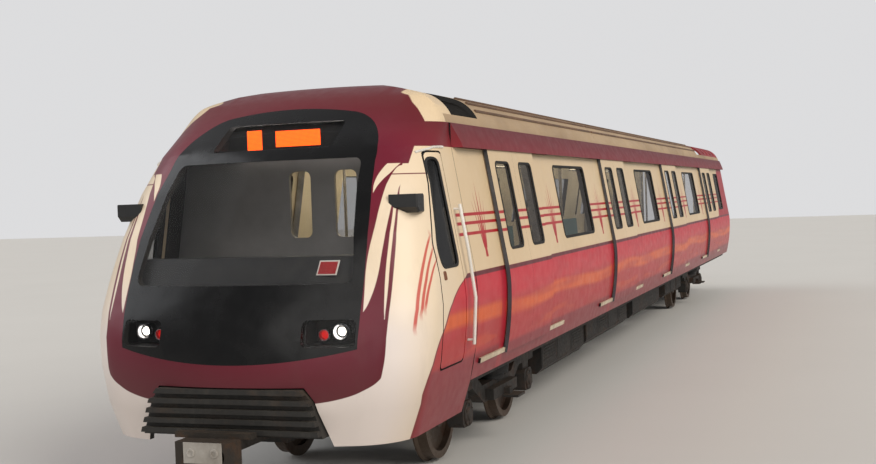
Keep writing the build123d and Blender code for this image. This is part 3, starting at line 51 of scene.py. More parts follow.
LEAF_WIDTH, LEAF_GAP = 0.814, 0.001
LEAF_OUT = 0.050
LEAF_WINDOW = (0.450, RAIL + 2.418, 0.815, 0.060)
SIDE_WINDOWS = ((5.190, 1.560), (0.030, 1.560), (-5.130, 1.560), (-9.830, 0.760))
WINDOW_Z, WINDOW_HEIGHT, WINDOW_CORNER = RAIL + 2.415, 0.800, 0.070
CAB_WINDOW = ((9.880, 1.945), (10.275, 1.945), (10.320, 2.100), (10.070, 2.840), (9.910, 2.840))
BOGIES = {"front": 7.480, "rear": -7.520}
AXLE_Z, AXLE_SHIFT = RAIL + 0.430, 1.1
LAMP_X, BEAM_Y, BEAM_Z = 10.951, 0.883, RAIL + 1.500
MARKER_Y, MARKER_Z = 0.738, RAIL + 1.474
CAR_BODY = "car"
FORWARD, UP = (1, 0, 0), (0, 0, 1)

# The section of the car's side
LEAN = math.radians(9.4)
WAIST_Y, WAIST_Z = 1.509, RAIL + 1.862
WAIST_R, LOW_R, CANT_Y = 1.300, 2.900, 1.310
WAIST_CENTRE_Y = WAIST_Y - WAIST_R * math.cos(LEAN)
WAIST_CENTRE_Z = WAIST_Z - WAIST_R * math.sin(LEAN)
LOW_CENTRE_Y = WAIST_CENTRE_Y + WAIST_R - LOW_R

# The nose's furthest point at each height above the rails
NOSE_ROWS = (
    (0.600, 11.155), (0.900, 11.225), (1.200, 11.240), (1.450, 11.222), (1.650, 11.165), (1.862, 11.078),
    (2.060, 10.995), (2.250, 10.905), (2.630, 10.665), (2.961, 10.370), (3.083, 10.205), (3.170, 10.075),
    (3.300, 9.900), (3.420, 9.730), (3.520, 9.485), (3.580, 9.180), (3.630, 8.700),
)
NOSE_CORNER_R, NOSE_FRONT_R = 0.500, 3.400

# The fairings' section: a broad arc over the middle, and a tight one at each shoulder
CROWN_Z, CROWN_R, CROWN_HALF = 0.1476, 3.490, 1.0245
SHOULDER_Y, SHOULDER_Z, SHOULDER_R = 0.910, RAIL + 3.083, 0.390


def side_y(z, inset=0.0):
    """Half width of the body at a height, with an inset from the outer skin."""
    if z <= WAIST_CENTRE_Z:
        return LOW_CENTRE_Y + math.sqrt((LOW_R - inset) ** 2 - (z - WAIST_CENTRE_Z) ** 2)
    if z <= WAIST_CENTRE_Z + (WAIST_R - inset) * math.sin(LEAN):
        return WAIST_CENTRE_Y + math.sqrt((WAIST_R - inset) ** 2 - (z - WAIST_CENTRE_Z) ** 2)
    lean_top = WAIST_Z + (WAIST_Y - inset / math.cos(LEAN) - CANT_Y + inset) / math.tan(LEAN)
    if z <= lean_top:
        return WAIST_Y - inset / math.cos(LEAN) - (z - WAIST_Z) * math.tan(LEAN)
    return CANT_Y - inset


def between_rows(rows, value):
    """The second column of a table of rows at a value of the first."""
    for (a, first), (b, second) in zip(rows, rows[1:]):
        if value <= b:
            return first + (second - first) * (value - a) / (b - a)
    return rows[-1][1]


def nose_y(x, z):
    """Half width of the cab at a place along it, where it curves in towards the nose."""
    half = side_y(z)
    inner = half - NOSE_CORNER_R
    reach = math.sqrt((NOSE_FRONT_R - NOSE_CORNER_R) ** 2 - inner ** 2)
    start = between_rows(NOSE_ROWS, z - RAIL) - NOSE_FRONT_R + reach
    if x <= start:
        return half
    return inner + math.sqrt(max(NOSE_CORNER_R ** 2 - (x - start) ** 2, 0.0))


def roof_z(y):
    """Height of the fairings' top at a distance from the centre line."""
    y = abs(y)
    if y < CROWN_HALF:
        return CROWN_Z + math.sqrt(CROWN_R ** 2 - y ** 2)
    return SHOULDER_Z + math.sqrt(SHOULDER_R ** 2 - (y - SHOULDER_Y) ** 2)


# Camera: the photograph's viewpoint
CAMERA_AT = Vector((19.5204, 4.7455, 2.5373))
YAW, PITCH, ROLL = -2.80031577, -0.02822681, 0.03680912
FOCAL_PIXELS, FRAME_WIDTH, SENSOR = 1208.6454507, 876, 36
forward = Vector((math.cos(YAW) * math.cos(PITCH), math.sin(YAW) * math.cos(PITCH), math.sin(PITCH)))
level_right = Vector((math.sin(YAW), -math.cos(YAW), 0))
level_down = forward.cross(level_right)
right = math.cos(ROLL) * level_right + math.sin(ROLL) * level_down
down = -math.sin(ROLL) * level_right + math.cos(ROLL) * level_down
camera_data = bpy.data.cameras.new("camera")
camera_data.sensor_fit = "HORIZONTAL"
camera_data.sensor_width = SENSOR
camera_data.lens = FOCAL_PIXELS / FRAME_WIDTH * SENSOR
camera_data.clip_end = 300
camera = bpy.data.objects.new("camera", camera_data)
turn = Matrix((right, -down, -forward)).transposed().to_4x4()
camera.matrix_world = Matrix.Translation(CAMERA_AT) @ turn
bpy.context.scene.collection.objects.link(camera)
bpy.context.scene.camera = camera
bpy.context.scene.view_settings.view_transform = "Standard"


# Materials
class Paint:
    """A material graph with short calls for the nodes that are used here."""

    def __init__(self, name):
        self.material = bpy.data.materials.new(name)
        self.material.use_nodes = True
        self.tree = self.material.node_tree
        self.tree.nodes.clear()
        out = self.tree.nodes.new("ShaderNodeOutputMaterial")
        self.bsdf = self.tree.nodes.new("ShaderNodeBsdfPrincipled")
        self.link(self.bsdf.outputs[0], out.inputs[0])
        self.vector, self.place = self.split("ShaderNodeTexCoord", "Object")

    def link(self, a, b):
        self.tree.links.new(a, b)

    def feed(self, value, socket):
        if isinstance(value, bpy.types.NodeSocket):
            self.link(value, socket)
        else:
            socket.default_value = value

    def split(self, kind, output):
        """A vector that a node gives, and its x, y and z. Objects' own places are in metres."""
        vector = self.tree.nodes.new(kind).outputs[output]
        parts = self.tree.nodes.new("ShaderNodeSeparateXYZ")
        self.link(vector, parts.inputs[0])
        return vector, tuple(parts.outputs)

    def math(self, operation, a, b=0.0, c=0.0, clamp=False):
        node = self.tree.nodes.new("ShaderNodeMath")
        node.operation = operation
        node.use_clamp = clamp
        for value, socket in zip((a, b, c), node.inputs):
            self.feed(value, socket)
        return node.outputs[0]

    def below(self, a, b, soft=0.004):
        """1 where a is below b, with a soft edge."""
        return self.math("MULTIPLY_ADD", self.math("SUBTRACT", b, a), 1 / soft, 0.5, clamp=True)

    def between(self, a, low, high, soft=0.004):
        return self.math("MULTIPLY", self.below(low, a, soft), self.below(a, high, soft))

    def both(self, first, *others):
        for mask in others:
            first = self.math("MULTIPLY", first, mask)
        return first

    def either(self, first, *others):
        for mask in others:
            first = self.math("MAXIMUM", first, mask)
        return first

    def inverse(self, a):
        return self.math("SUBTRACT", 1.0, a)

    def curve(self, value, points):
        """A smooth function through (input, output) points. Outside them it keeps its end values."""
        low, high = min(p[0] for p in points), max(p[0] for p in points)
        floor = min(p[1] for p in points)
        span = max(max(p[1] for p in points) - floor, 1e-4)
        node = self.tree.nodes.new("ShaderNodeFloatCurve")
        line = node.mapping.curves[0]
        ordered = sorted(((p[0] - low) / (high - low), (p[1] - floor) / span) for p in points)
        line.points[0].location = ordered[0]
        line.points[-1].location = ordered[-1]
        for x, y in ordered[1:-1]:
            line.points.new(x, y)
        node.mapping.update()
        place = self.math("MULTIPLY_ADD", value, 1 / (high - low), -low / (high - low), clamp=True)
        self.feed(place, node.inputs["Value"])
        return self.math("MULTIPLY_ADD", node.outputs[0], span, floor)

    def noise(self, scale, detail=3.0, rough=0.55, stretch=(1, 1, 1)):
        mapping = self.tree.nodes.new("ShaderNodeMapping")
        mapping.inputs["Scale"].default_value = stretch
        self.link(self.vector, mapping.inputs[0])
        node = self.tree.nodes.new("ShaderNodeTexNoise")
        for key, value in (("Scale", scale), ("Detail", detail), ("Roughness", rough)):
            node.inputs[key].default_value = value
        self.link(mapping.outputs[0], node.inputs["Vector"])
        return node.outputs[0]

    def patchy(self, scale, low, high, to_low=0.0, to_high=1.0, **how):
        """Noise, with one range of it spread over another."""
        return self.scale_range(self.noise(scale, **how), low, high, to_low, to_high)

    def mix(self, factor, a, b):
        node = self.tree.nodes.new("ShaderNodeMix")
        node.data_type = "RGBA"
        self.feed(factor, node.inputs[0])
        self.feed(colour(a), node.inputs[6])
        self.feed(colour(b), node.inputs[7])
        return node.outputs[2]

    def scale_range(self, value, low, high, to_low=0.0, to_high=1.0):
        node = self.tree.nodes.new("ShaderNodeMapRange")
        self.feed(value, node.inputs[0])
        for i, v in enumerate((low, high, to_low, to_high), 1):
            node.inputs[i].default_value = v
        return node.outputs[0]

    def bump(self, height, strength=0.2, distance=0.002):
        node = self.tree.nodes.new("ShaderNodeBump")
        node.inputs["Strength"].default_value = strength
        node.inputs["Distance"].default_value = distance
        self.feed(height, node.inputs["Height"])
        self.link(node.outputs[0], self.bsdf.inputs["Normal"])

    def set(self, **values):
        for key, value in values.items():
            socket = self.bsdf.inputs[key.replace("_", " ")]
            self.feed(colour(value) if key in ("Base_Color", "Emission_Color") else value, socket)


def colour(value):
    """A colour as four linear numbers, from an sRGB triple or a socket."""
    if isinstance(value, (tuple, list)) and len(value) == 3:
        return tuple(v / 12.92 if v <= 0.04045 else ((v + 0.055) / 1.055) ** 2.4 for v in value) + (1.0,)
    return value


def dimmed(tone, factor):
    return tuple(v * factor for v in tone)


# The sign's lamps, from one to the next
DOT_PITCH = 0.011

CREAM = (0.845, 0.750, 0.610)
CREAM_SHADE = (0.790, 0.690, 0.545)
CREAM_NOSE = (0.875, 0.800, 0.695)
SKIRT_WHITE = (0.850, 0.805, 0.775)
MAROON = (0.470, 0.105, 0.135)
MAROON_DARK = (0.375, 0.085, 0.110)
WINE = (0.420, 0.080, 0.160)
WINE_DARK = (0.300, 0.062, 0.110)
CRIMSON = (0.690, 0.130, 0.185)
CRIMSON_BRIGHT = (0.745, 0.125, 0.190)
RED_LOW = (0.660, 0.150, 0.160)
ORANGE = (0.815, 0.345, 0.115)
PLUM = (0.520, 0.100, 0.170)
REAR_CRIMSON = (0.620, 0.075, 0.125)
# Deeper crimson for the painted shade just in front of the door leaves
JAMB_SHADE_RED = (0.640, 0.080, 0.180)
STREAK_RED = (0.60, 0.17, 0.15)
RIBBON_RED = (0.660, 0.085, 0.120)
CORNER_RED = (0.72, 0.17, 0.14)
REAR_EDGE = (0.80, 0.70, 0.58)
SEAM_DARK = (0.10, 0.08, 0.07)
DUST = (0.34, 0.27, 0.22)

# Bands of the lower side, the upper edge of its colours, and where the nose's scheme begins
RED_TOP, FOOT_TOP = RAIL + 1.555, RAIL + 1.130
ORANGE_BAND, GLOW_BAND = (RAIL + 1.400, RAIL + 1.535), (RAIL + 1.18, RAIL + 1.28)
WAIST_EDGE, WAIST_LINE = WAIST + 0.004, 0.040
NOSE_X, BLADE_EDGE = 9.95, 0.005

# Paint lines on the nose, seen from the front: (height, distance from the centre line)
MASK_BLADE_TOP = (
    (2.595, 1.018), (2.700, 1.012), (2.789, 1.039), (2.853, 1.081), (2.926, 1.146), (3.020, 1.185),
)
MASK_BLADE_LOW = (
    (2.595, 1.018), (2.643, 1.036), (2.706, 1.070), (2.753, 1.105), (2.801, 1.135), (2.834, 1.158),
)
LONG_BLADE_IN = (
    (1.681, 1.080), (1.846, 1.072), (1.997, 1.064), (2.149, 1.068), (2.302, 1.082), (2.497, 1.090),
    (2.696, 1.112), (2.817, 1.174),
)
LONG_BLADE_OUT = (
    (1.681, 1.080), (1.769, 1.119), (1.956, 1.157), (2.146, 1.166), (2.260, 1.170), (2.416, 1.172),
    (2.533, 1.178), (2.817, 1.300),
)
SLIVER_OUT = (
    (1.640, 1.236), (1.765, 1.224), (1.991, 1.210), (2.144, 1.206), (2.336, 1.199), (2.454, 1.191),
    (2.530, 1.178),
)
OUTER_IN = (
    (1.615, 1.240), (1.839, 1.241), (1.990, 1.235), (2.142, 1.230), (2.297, 1.223), (2.453, 1.211),
    (2.612, 1.197), (2.749, 1.212),
)
OUTER_OUT = (
    (1.125, 1.180), (1.276, 1.239), (1.428, 1.256), (1.577, 1.263), (1.763, 1.269), (1.989, 1.265),
    (2.179, 1.255), (2.335, 1.239), (2.532, 1.217), (2.709, 1.203), (2.749, 1.212),
)
SKIRT_LINE = (
    (0.0, 0.965), (0.40, 0.972), (0.714, 0.992), (0.951, 1.034), (1.099, 1.091), (1.192, 1.150),
    (1.245, 1.240),
)
# Where the red of the side begins on the cab: (height, distance along)
RED_FRONT = (
    (1.000, 10.690), (1.185, 10.613), (1.367, 10.494), (1.510, 10.342), (1.643, 10.209), (1.765, 10.003),
    (1.862, 9.739), (1.880, 9.700),
)
DOME_LINE = (
    (3.150, 9.800), (3.199, 9.771), (3.303, 9.707), (3.402, 9.629), (3.489, 9.508), (3.572, 9.143),
    (3.620, 8.60),
)
# Three thin lines that sweep down the cab's corner: (height, distance along)
CORNER_LINES = (
    ((1.524, 10.810), (1.749, 10.728), (2.050, 10.551), (2.241, 10.391)),
    ((1.632, 10.737), (1.932, 10.575), (2.145, 10.396)),
    ((1.667, 10.691), (1.928, 10.518), (2.054, 10.374)),
)
SIDE_LINES, SIDE_LINE_HALF, SIDE_LINES_END = (2.383, 2.306, 2.214), 0.014, 9.72
# Fans of thin blades between the windows: their places, and each blade's lean, width, foot and tip
FAN_X = (9.035, 6.395, 3.885, 1.295, -1.235, -3.865, -6.395, -8.925)
FAN_FOOT, BLADE_TIP = 1.99, 0.001
FAN_BLADES = (
    (0.00, 0.034, 1.99, 2.66), (0.16, 0.022, 2.03, 2.58), (-0.16, 0.022, 2.03, 2.58),
    (0.34, 0.016, 2.07, 2.50), (-0.34, 0.016, 2.07, 2.50),
)
REAR_LINE = ((1.880, -9.125), (2.990, -10.325))


def livery(name):
    """The body's paint scheme, laid out by place along and up the car."""
    p = Paint(name)
    x, y, z = p.place
    side = p.math("ABSOLUTE", y)

    # Lower side: dark line under the waist, crimson, an orange band in blocks, red and a plum foot
    blocks = p.noise(1.0, detail=0.0, stretch=(0.9, 0.0, 9.0))
    patches = p.patchy(1.3, 0.45, 0.60, 0.0, 0.55, detail=1.0, stretch=(1.0, 0.0, 5.0))
    streaks = p.patchy(7.0, 0.45, 0.75, 0.0, 0.22, detail=4.0, stretch=(1.0, 0.0, 0.12))
    step_up = p.patchy(0.55, 0.35, 0.65, -0.030, 0.030, detail=0.0, stretch=(1, 0, 0))
    lower = p.mix(p.below(RED_TOP, z, 0.10), RED_LOW, CRIMSON_BRIGHT)
    lower = p.mix(patches, lower, CRIMSON)
    band = p.between(p.math("SUBTRACT", z, step_up), *ORANGE_BAND, 0.05)
    lower = p.mix(p.both(band, p.scale_range(blocks, 0.30, 0.55, 0.40, 0.95)), lower, ORANGE)
    glow = p.between(z, *GLOW_BAND, 0.04)
    lower = p.mix(p.both(glow, p.scale_range(blocks, 0.52, 0.60, 0.0, 0.35)), lower, ORANGE)
    lower = p.mix(p.below(z, FOOT_TOP, 0.04), lower, PLUM)
    # A band of deeper crimson just in front of each door leaf's front edge: painted shade beside the leaf
    for door in DOORS:
        jamb_shade = p.between(x, door + LEAF_WIDTH, door + LEAF_WIDTH + 0.150, 0.02)
        lower = p.mix(p.both(jamb_shade, 0.75), lower, JAMB_SHADE_RED)
    lower = p.mix(streaks, lower, STREAK_RED)
    lower = p.mix(p.between(z, WAIST_EDGE - WAIST_LINE, WAIST_EDGE, 0.006), lower, MAROON_DARK)

    # Upper side: cream with three thin lines and fans of blades
    upper = p.mix(p.patchy(0.6, 0.35, 0.7, 0.0, 0.6, detail=4.0), CREAM, CREAM_SHADE)
    upper = p.mix(p.scale_range(x, 9.5, 10.5), upper, CREAM_NOSE)
    upper = p.mix(p.both(p.scale_range(x, 10.55, 10.95), p.below(z, 1.75, 0.5)), upper, SKIRT_WHITE)
    ribbons = [p.between(z, h - SIDE_LINE_HALF, h + SIDE_LINE_HALF, 0.005) for h in SIDE_LINES]
    for fan in FAN_X:
        for lean, width, foot, tip in FAN_BLADES:
            axis = p.math("MULTIPLY_ADD", p.math("SUBTRACT", z, FAN_FOOT), lean, fan)
            away = p.math("ABSOLUTE", p.math("SUBTRACT", x, axis))
            taper = p.scale_range(z, foot, tip, width, BLADE_TIP)
            ribbons.append(p.both(p.below(away, taper, 0.006), p.between(z, foot, tip, 0.01)))
    ribbons = p.both(p.either(*ribbons), p.below(x, SIDE_LINES_END, 0.05))
    upper = p.mix(ribbons, upper, RIBBON_RED)
    slant = p.curve(z, REAR_LINE)
    upper = p.mix(p.below(x, slant, 0.006), upper, REAR_CRIMSON)
    upper = p.mix(p.between(x, slant, p.math("ADD", slant, 0.05), 0.006), upper, REAR_EDGE)

    red_start = p.curve(z, RED_FRONT)
    tone = p.mix(p.both(p.below(z, WAIST_EDGE), p.below(x, red_start, 0.006)), upper, lower)
    edge = p.between(x, p.math("SUBTRACT", red_start, 0.030), red_start, 0.01)
    tone = p.mix(p.both(edge, p.below(z, WAIST)), tone, MAROON)

    # The cab's corner
    sweeps = []
    for points in CORNER_LINES:
        off = p.math("ABSOLUTE", p.math("SUBTRACT", x, p.curve(z, points)))
        sweeps.append(p.both(p.below(off, 0.014, 0.008), p.between(z, points[0][0], points[-1][0], 0.10)))
    tone = p.mix(p.both(p.either(*sweeps), 0.85, p.below(1.20, side, 0.01)), tone, CORNER_RED)

    # The nose: wine, with blades of cream left in it
    def outside(line):
        return p.below(p.curve(z, line), side, BLADE_EDGE)

    def blade(inner, outer, low, high):
        edges = p.both(outside(inner), p.below(side, p.curve(z, outer), BLADE_EDGE))
        return p.both(edges, p.between(z, low, high, BLADE_EDGE))

    on_nose = p.below(NOSE_X, x, 0.01)
    above_skirt = p.below(p.curve(side, SKIRT_LINE), z, BLADE_EDGE)
    nose = p.both(p.below(side, p.curve(z, OUTER_OUT), BLADE_EDGE), on_nose, above_skirt)
    long_blade = blade(LONG_BLADE_IN, LONG_BLADE_OUT, 1.681, 2.83)
    sliver = blade(SLIVER_OUT, OUTER_IN, 1.62, 2.749)
    mask_blade = blade(MASK_BLADE_TOP, MASK_BLADE_LOW, 2.595, 2.834)
    above = p.both(p.between(z, 2.834, CANT_LINE, BLADE_EDGE), outside(MASK_BLADE_TOP))
    top_open = p.both(p.below(2.749, z), outside(LONG_BLADE_IN))
    wine = p.both(nose, p.inverse(p.either(long_blade, sliver, mask_blade)))
    wine_top = p.both(p.below(2.740, z), on_nose, p.inverse(p.either(above, mask_blade, top_open)))

    # Cant band and dome
    roof = p.both(p.below(GUTTER, z), p.below(x, p.curve(z, DOME_LINE), 0.006))
    cant = p.both(p.below(CANT_LINE, z), p.inverse(roof))
    wine_tone = p.mix(p.patchy(0.7, 0.35, 0.7, 0.0, 0.6), WINE, WINE_DARK)
    wine_tone = p.mix(p.scale_range(z, RAIL + 1.0, RAIL + 1.7, 0.75, 0.0), wine_tone, WINE_DARK)
    cant_tone = p.mix(p.scale_range(z, CANT_LINE, GUTTER), MAROON, MAROON_DARK)
    wine_tone = p.mix(p.below(x, NOSE_X, 0.5), wine_tone, cant_tone)
    tone = p.mix(p.either(wine, wine_top, cant), tone, wine_tone)

    # The seam behind the cab, and dirt
    seam = p.both(p.between(x, CAB_X - 0.004, CAB_X + 0.004, 0.003), p.below(z, LEDGE))
    tone = p.mix(seam, tone, SEAM_DARK)
    dirt = p.patchy(3.0, 0.55, 0.85, 0.0, 0.14, detail=6.0, rough=0.7, stretch=(1, 1, 0.25))
    low_dirt = p.scale_range(z, RAIL + 0.9, RAIL + 1.30, 0.20, 0.0)
    tone = p.mix(p.math("ADD", dirt, low_dirt), tone, DUST)
    p.set(Base_Color=tone, Roughness=p.patchy(9.0, 0.3, 0.8, 0.30, 0.44, detail=4.0))
    p.set(Specular_IOR_Level=0.30, Coat_Weight=0.05, Coat_Roughness=0.10)
    p.bump(p.noise(1.1, detail=1.0), 0.03, 0.006)
    return p.material


def plain(name, base, shade, rough, grain, bump, metal=0.0, stretch=(1, 1, 1), **extra):
    """A paint, metal or plastic with gentle variation of tone and roughness and a fine grain."""
    p = Paint(name)
    wear = p.patchy(grain * 0.12, 0.35, 0.7, detail=5.0, rough=0.6, stretch=stretch)
    fine = p.noise(grain, stretch=stretch)
    p.set(Base_Color=p.mix(wear, base, shade), Metallic=metal)
    p.set(Roughness=p.scale_range(fine, 0.3, 0.7, rough - 0.08, rough + 0.08))
    p.bump(fine, bump, 0.0015)
    p.set(**extra)
    return p.material


def grimy(name, base, rust, dust, rough=0.68, grain=26.0, bump=0.3, metal=0.0):
    """Underfloor metal: paint with rust in patches, and brake dust that gathers on what faces up."""
    p = Paint(name)
    facing = p.split("ShaderNodeNewGeometry", "Normal")[1]
    tone = p.mix(p.patchy(3.5, 0.52, 0.68, 0.0, 0.8, detail=7.0, rough=0.7), base, rust)
    facing_up = p.scale_range(facing[2], 0.2, 0.9, 0.0, 0.8)
    tone = p.mix(p.both(facing_up, p.patchy(6.0, 0.3, 0.6, 0.3, detail=4.0)), tone, dust)
    streak = p.patchy(9.0, 0.50, 0.80, 0.0, 0.45, detail=5.0, stretch=(1, 1, 0.10))
    tone = p.mix(streak, tone, dust)
    fine = p.noise(grain, detail=4.0)
    p.set(Base_Color=tone, Metallic=metal, Specular_IOR_Level=0.35)
    p.set(Roughness=p.scale_range(fine, 0.3, 0.7, rough - 0.1, rough + 0.12))
    p.bump(fine, bump, 0.002)
    return p.material


def glass(name, tint, alpha, level):
    """Tinted glass with wiped smears, seen through in part."""
    p = Paint(name)
    smear = p.patchy(4.0, 0.4, 0.8, 0.03, 0.13, detail=5.0, rough=0.7, stretch=(1, 1, 0.4))
    p.set(Base_Color=p.mix(p.noise(1.2), tint, dimmed(tint, 0.8)), Roughness=smear, IOR=1.45)
    p.set(Transmission_Weight=0.0, Alpha=alpha, Specular_IOR_Level=level)
    return p.material


def lit(name, tone, strength):
    """A diffuser that shines, a little uneven."""
    p = Paint(name)
    shade = p.mix(p.patchy(40.0, 0.3, 0.7, 0.0, 0.5), tone, dimmed(tone, 0.85))
    p.set(Base_Color=shade, Emission_Color=shade, Emission_Strength=strength, Roughness=0.4)
    return p.material


def dotted(name, tone, strength):
    """A sheet of small lamps in rows, all lit alike."""
    p = Paint(name)
    y, z = p.math("ADD", p.place[1], 2.0), p.place[2]
    row, column = [p.below(p.math("PINGPONG", way, DOT_PITCH / 2), DOT_PITCH * 0.34, 0.002) for way in (y, z)]
    shade = p.mix(p.both(row, column), dimmed(tone, 0.55), tone)
    p.set(Base_Color=shade, Emission_Color=shade, Emission_Strength=strength, Roughness=0.5)
    return p.material


def fabric(name, base, shade, scale):
    """Woven cloth or coated fabric with a fine over-and-under bump."""
    p = Paint(name)
    x, y, z = p.place
    warp, weft = p.math("ADD", x, z), p.math("SUBTRACT", y, z)
    weave = p.both(*[p.math("SINE", p.math("MULTIPLY", way, scale * 2)) for way in (warp, weft)])
    tone = p.mix(p.patchy(5.0, 0.35, 0.7, detail=5.0), base, shade)
    tone = p.mix(p.scale_range(weave, -1.0, 1.0, 0.0, 0.25), tone, dimmed(base, 1.5))
    p.set(Base_Color=tone, Roughness=0.9, Sheen_Weight=0.25, Sheen_Roughness=0.5)
    p.bump(weave, 0.35, 0.0008)
    return p.material


def track_paint():
    """The cant rail covers in the band's maroon, near black as painted shade on the faces that turn neither
    out nor up, and pale guide rails at the doors' feet.
    """
    p = Paint("track_paint")
    x, y, z = p.place
    facing = p.split("ShaderNodeTexCoord", "Normal")[1]
    outward = p.math("MULTIPLY", facing[1], p.math("SIGN", y))
    unshaded = p.either(p.below(0.12, outward, 0.05), p.below(0.5, facing[2], 0.05))
    cover = p.mix(p.scale_range(z, CANT_LINE, GUTTER), MAROON, MAROON_DARK)
    cover = p.mix(p.patchy(3.0, 0.5, 0.85, 0.0, 0.3, detail=6.0, rough=0.7), cover, (0.30, 0.20, 0.16))
    rail = p.mix(p.patchy(9.0, 0.4, 0.7, 0.0, 0.6, detail=5.0), (0.80, 0.74, 0.64), (0.55, 0.47, 0.38))
    tone = p.mix(p.below(z, 2.0, 0.01), cover, rail)
    # Faces that turn neither out nor up get near black: painted shade in the covers' slots
    p.set(Base_Color=p.mix(unshaded, (0.045, 0.035, 0.035), tone), Specular_IOR_Level=0.3)
    p.set(Roughness=p.patchy(9.0, 0.3, 0.8, 0.34, 0.48, detail=4.0))
    p.bump(p.noise(20.0), 0.05, 0.001)
    return p.material


# For plain: tone, worn tone, roughness, grain and bump. For grimy: paint, rust and dust
body_paint = livery("body_paint")
black_gloss = plain(
    "mask_gloss", (0.036, 0.036, 0.038), (0.058, 0.055, 0.055), 0.24, 6.0, 0.02,
    Specular_IOR_Level=0.22, Coat_Weight=0.04, Coat_Roughness=0.08,
)
rear_crimson = plain("cowl_crimson", (0.60, 0.075, 0.12), (0.46, 0.06, 0.09), 0.45, 9.0, 0.05)
roof_cream = plain("roof_cream", (0.70, 0.60, 0.47), (0.56, 0.46, 0.35), 0.50, 7.0, 0.05, stretch=(0.5, 1, 1))
roof_ridge = plain("roof_ridge", (0.43, 0.31, 0.21), (0.32, 0.23, 0.16), 0.55, 14.0, 0.1)
roof_grey = plain("roof_grey", (0.42, 0.40, 0.38), (0.30, 0.29, 0.27), 0.62, 12.0, 0.1)
dark_steel = grimy("underframe_steel", (0.125, 0.120, 0.115), (0.24, 0.17, 0.12), (0.25, 0.22, 0.19))
buffer_steel = grimy("buffer_steel", (0.135, 0.128, 0.118), (0.22, 0.17, 0.13), (0.27, 0.25, 0.22), rough=0.6)
bogie_steel = grimy("bogie_steel", (0.15, 0.14, 0.13), (0.27, 0.18, 0.12), (0.28, 0.23, 0.19), grain=24.0)
wheel_steel = grimy(
    "wheel_steel", (0.33, 0.28, 0.24), (0.26, 0.16, 0.10), (0.24, 0.20, 0.17), rough=0.5, bump=0.2, metal=0.5
)
rubber_black = plain("rubber_black", (0.045, 0.045, 0.048), (0.09, 0.085, 0.08), 0.72, 40.0, 0.2)
rubber_grey = plain("rubber_grey", (0.29, 0.29, 0.31), (0.22, 0.22, 0.235), 0.6, 40.0, 0.2)
coupler_iron = grimy(
    "coupler_iron", (0.19, 0.17, 0.15), (0.32, 0.22, 0.14), (0.30, 0.26, 0.22), rough=0.5, grain=30.0,
    metal=0.4,
)
pale_plate = plain("pale_plate", (0.62, 0.60, 0.57), (0.45, 0.42, 0.38), 0.5, 25.0, 0.1)
end_white = plain("end_white", (0.72, 0.70, 0.67), (0.62, 0.60, 0.56), 0.5, 10.0, 0.05)
cab_wall = plain("cab_wall", (0.60, 0.59, 0.58), (0.50, 0.49, 0.48), 0.6, 10.0, 0.05)
cab_lining = plain("cab_lining", (0.20, 0.19, 0.18), (0.15, 0.145, 0.14), 0.7, 60.0, 0.2)
saloon_lining = plain("saloon_lining", (0.82, 0.79, 0.72), (0.74, 0.70, 0.62), 0.5, 12.0, 0.04)
floor_cover = plain("floor_cover", (0.27, 0.26, 0.25), (0.19, 0.185, 0.18), 0.6, 160.0, 0.25)
aluminium = plain(
    "bare_aluminium", (0.66, 0.66, 0.67), (0.50, 0.50, 0.50), 0.35, 45.0, 0.1, metal=0.9,
    stretch=(0.1, 1, 1),
)
bench_plastic = plain("bench_plastic", (0.16, 0.40, 0.45), (0.11, 0.32, 0.37), 0.38, 20.0, 0.08)
ceiling_paint = plain("ceiling_paint", (0.85, 0.84, 0.80), (0.78, 0.77, 0.72), 0.55, 12.0, 0.04)
pole_steel = plain(
    "pole_steel", (0.75, 0.74, 0.72), (0.62, 0.61, 0.60), 0.25, 60.0, 0.05, metal=1.0,
    stretch=(1, 1, 0.05),
)
desk_plastic = plain("desk_plastic", (0.13, 0.13, 0.135), (0.18, 0.175, 0.17), 0.6, 60.0, 0.3)
rail_white = plain("rail_white", (0.88, 0.86, 0.83), (0.76, 0.74, 0.70), 0.3, 20.0, 0.04)
pod_plastic = plain("pod_plastic", (0.07, 0.07, 0.075), (0.11, 0.11, 0.11), 0.45, 60.0, 0.15)
lamp_metal = plain("lamp_metal", (0.70, 0.70, 0.72), (0.52, 0.52, 0.54), 0.22, 30.0, 0.05, metal=1.0)
lock_brass = plain("lock_brass", (0.50, 0.28, 0.14), (0.34, 0.19, 0.10), 0.5, 30.0, 0.1)
plate_red = plain("plate_red", (0.66, 0.10, 0.10), (0.52, 0.08, 0.09), 0.5, 20.0, 0.03)
seat_cloth = fabric("seat_cloth", (0.10, 0.12, 0.19), (0.07, 0.08, 0.13), 420.0)
bellows_fabric = fabric("bellows_fabric", (0.095, 0.095, 0.10), (0.14, 0.13, 0.12), 260.0)
side_glass = glass("side_glass", (0.16, 0.12, 0.08), alpha=0.34, level=0.35)
cab_glass = glass("cab_glass", (0.05, 0.05, 0.05), alpha=0.45, level=0.35)
screen_glass = glass("screen_glass", (0.05, 0.055, 0.055), alpha=0.10, level=0.30)
lens_clear = glass("lens_clear", (0.10, 0.095, 0.09), alpha=0.14, level=0.45)
saloon_light = lit("saloon_light", (1.0, 0.93, 0.80), 9.0)
cab_light = lit("cab_light", (0.95, 0.92, 0.90), 9.0)
beam_white = lit("beam_white", (1.0, 0.97, 0.92), 9.0)
tail_red = lit("tail_red", (0.72, 0.06, 0.05), 1.2)
sign_amber = dotted("sign_amber", (1.0, 0.30, 0.03), 5.5)


# Points closer than one step count as one, and edges from this angle up stay sharp
STEPS_PER_METRE, SHARP_FROM = 5000, 28


def add_slot(data, material):
    data.materials.append(material)
    return len(data.materials) - 1


def assign(material, *names):
    """Gives CAD nodes a material in all their slots."""
    for name in names:
        data = NODES[name].data
        if not data.materials:
            data.materials.append(material)
        for i in range(len(data.materials)):
            data.materials[i] = material


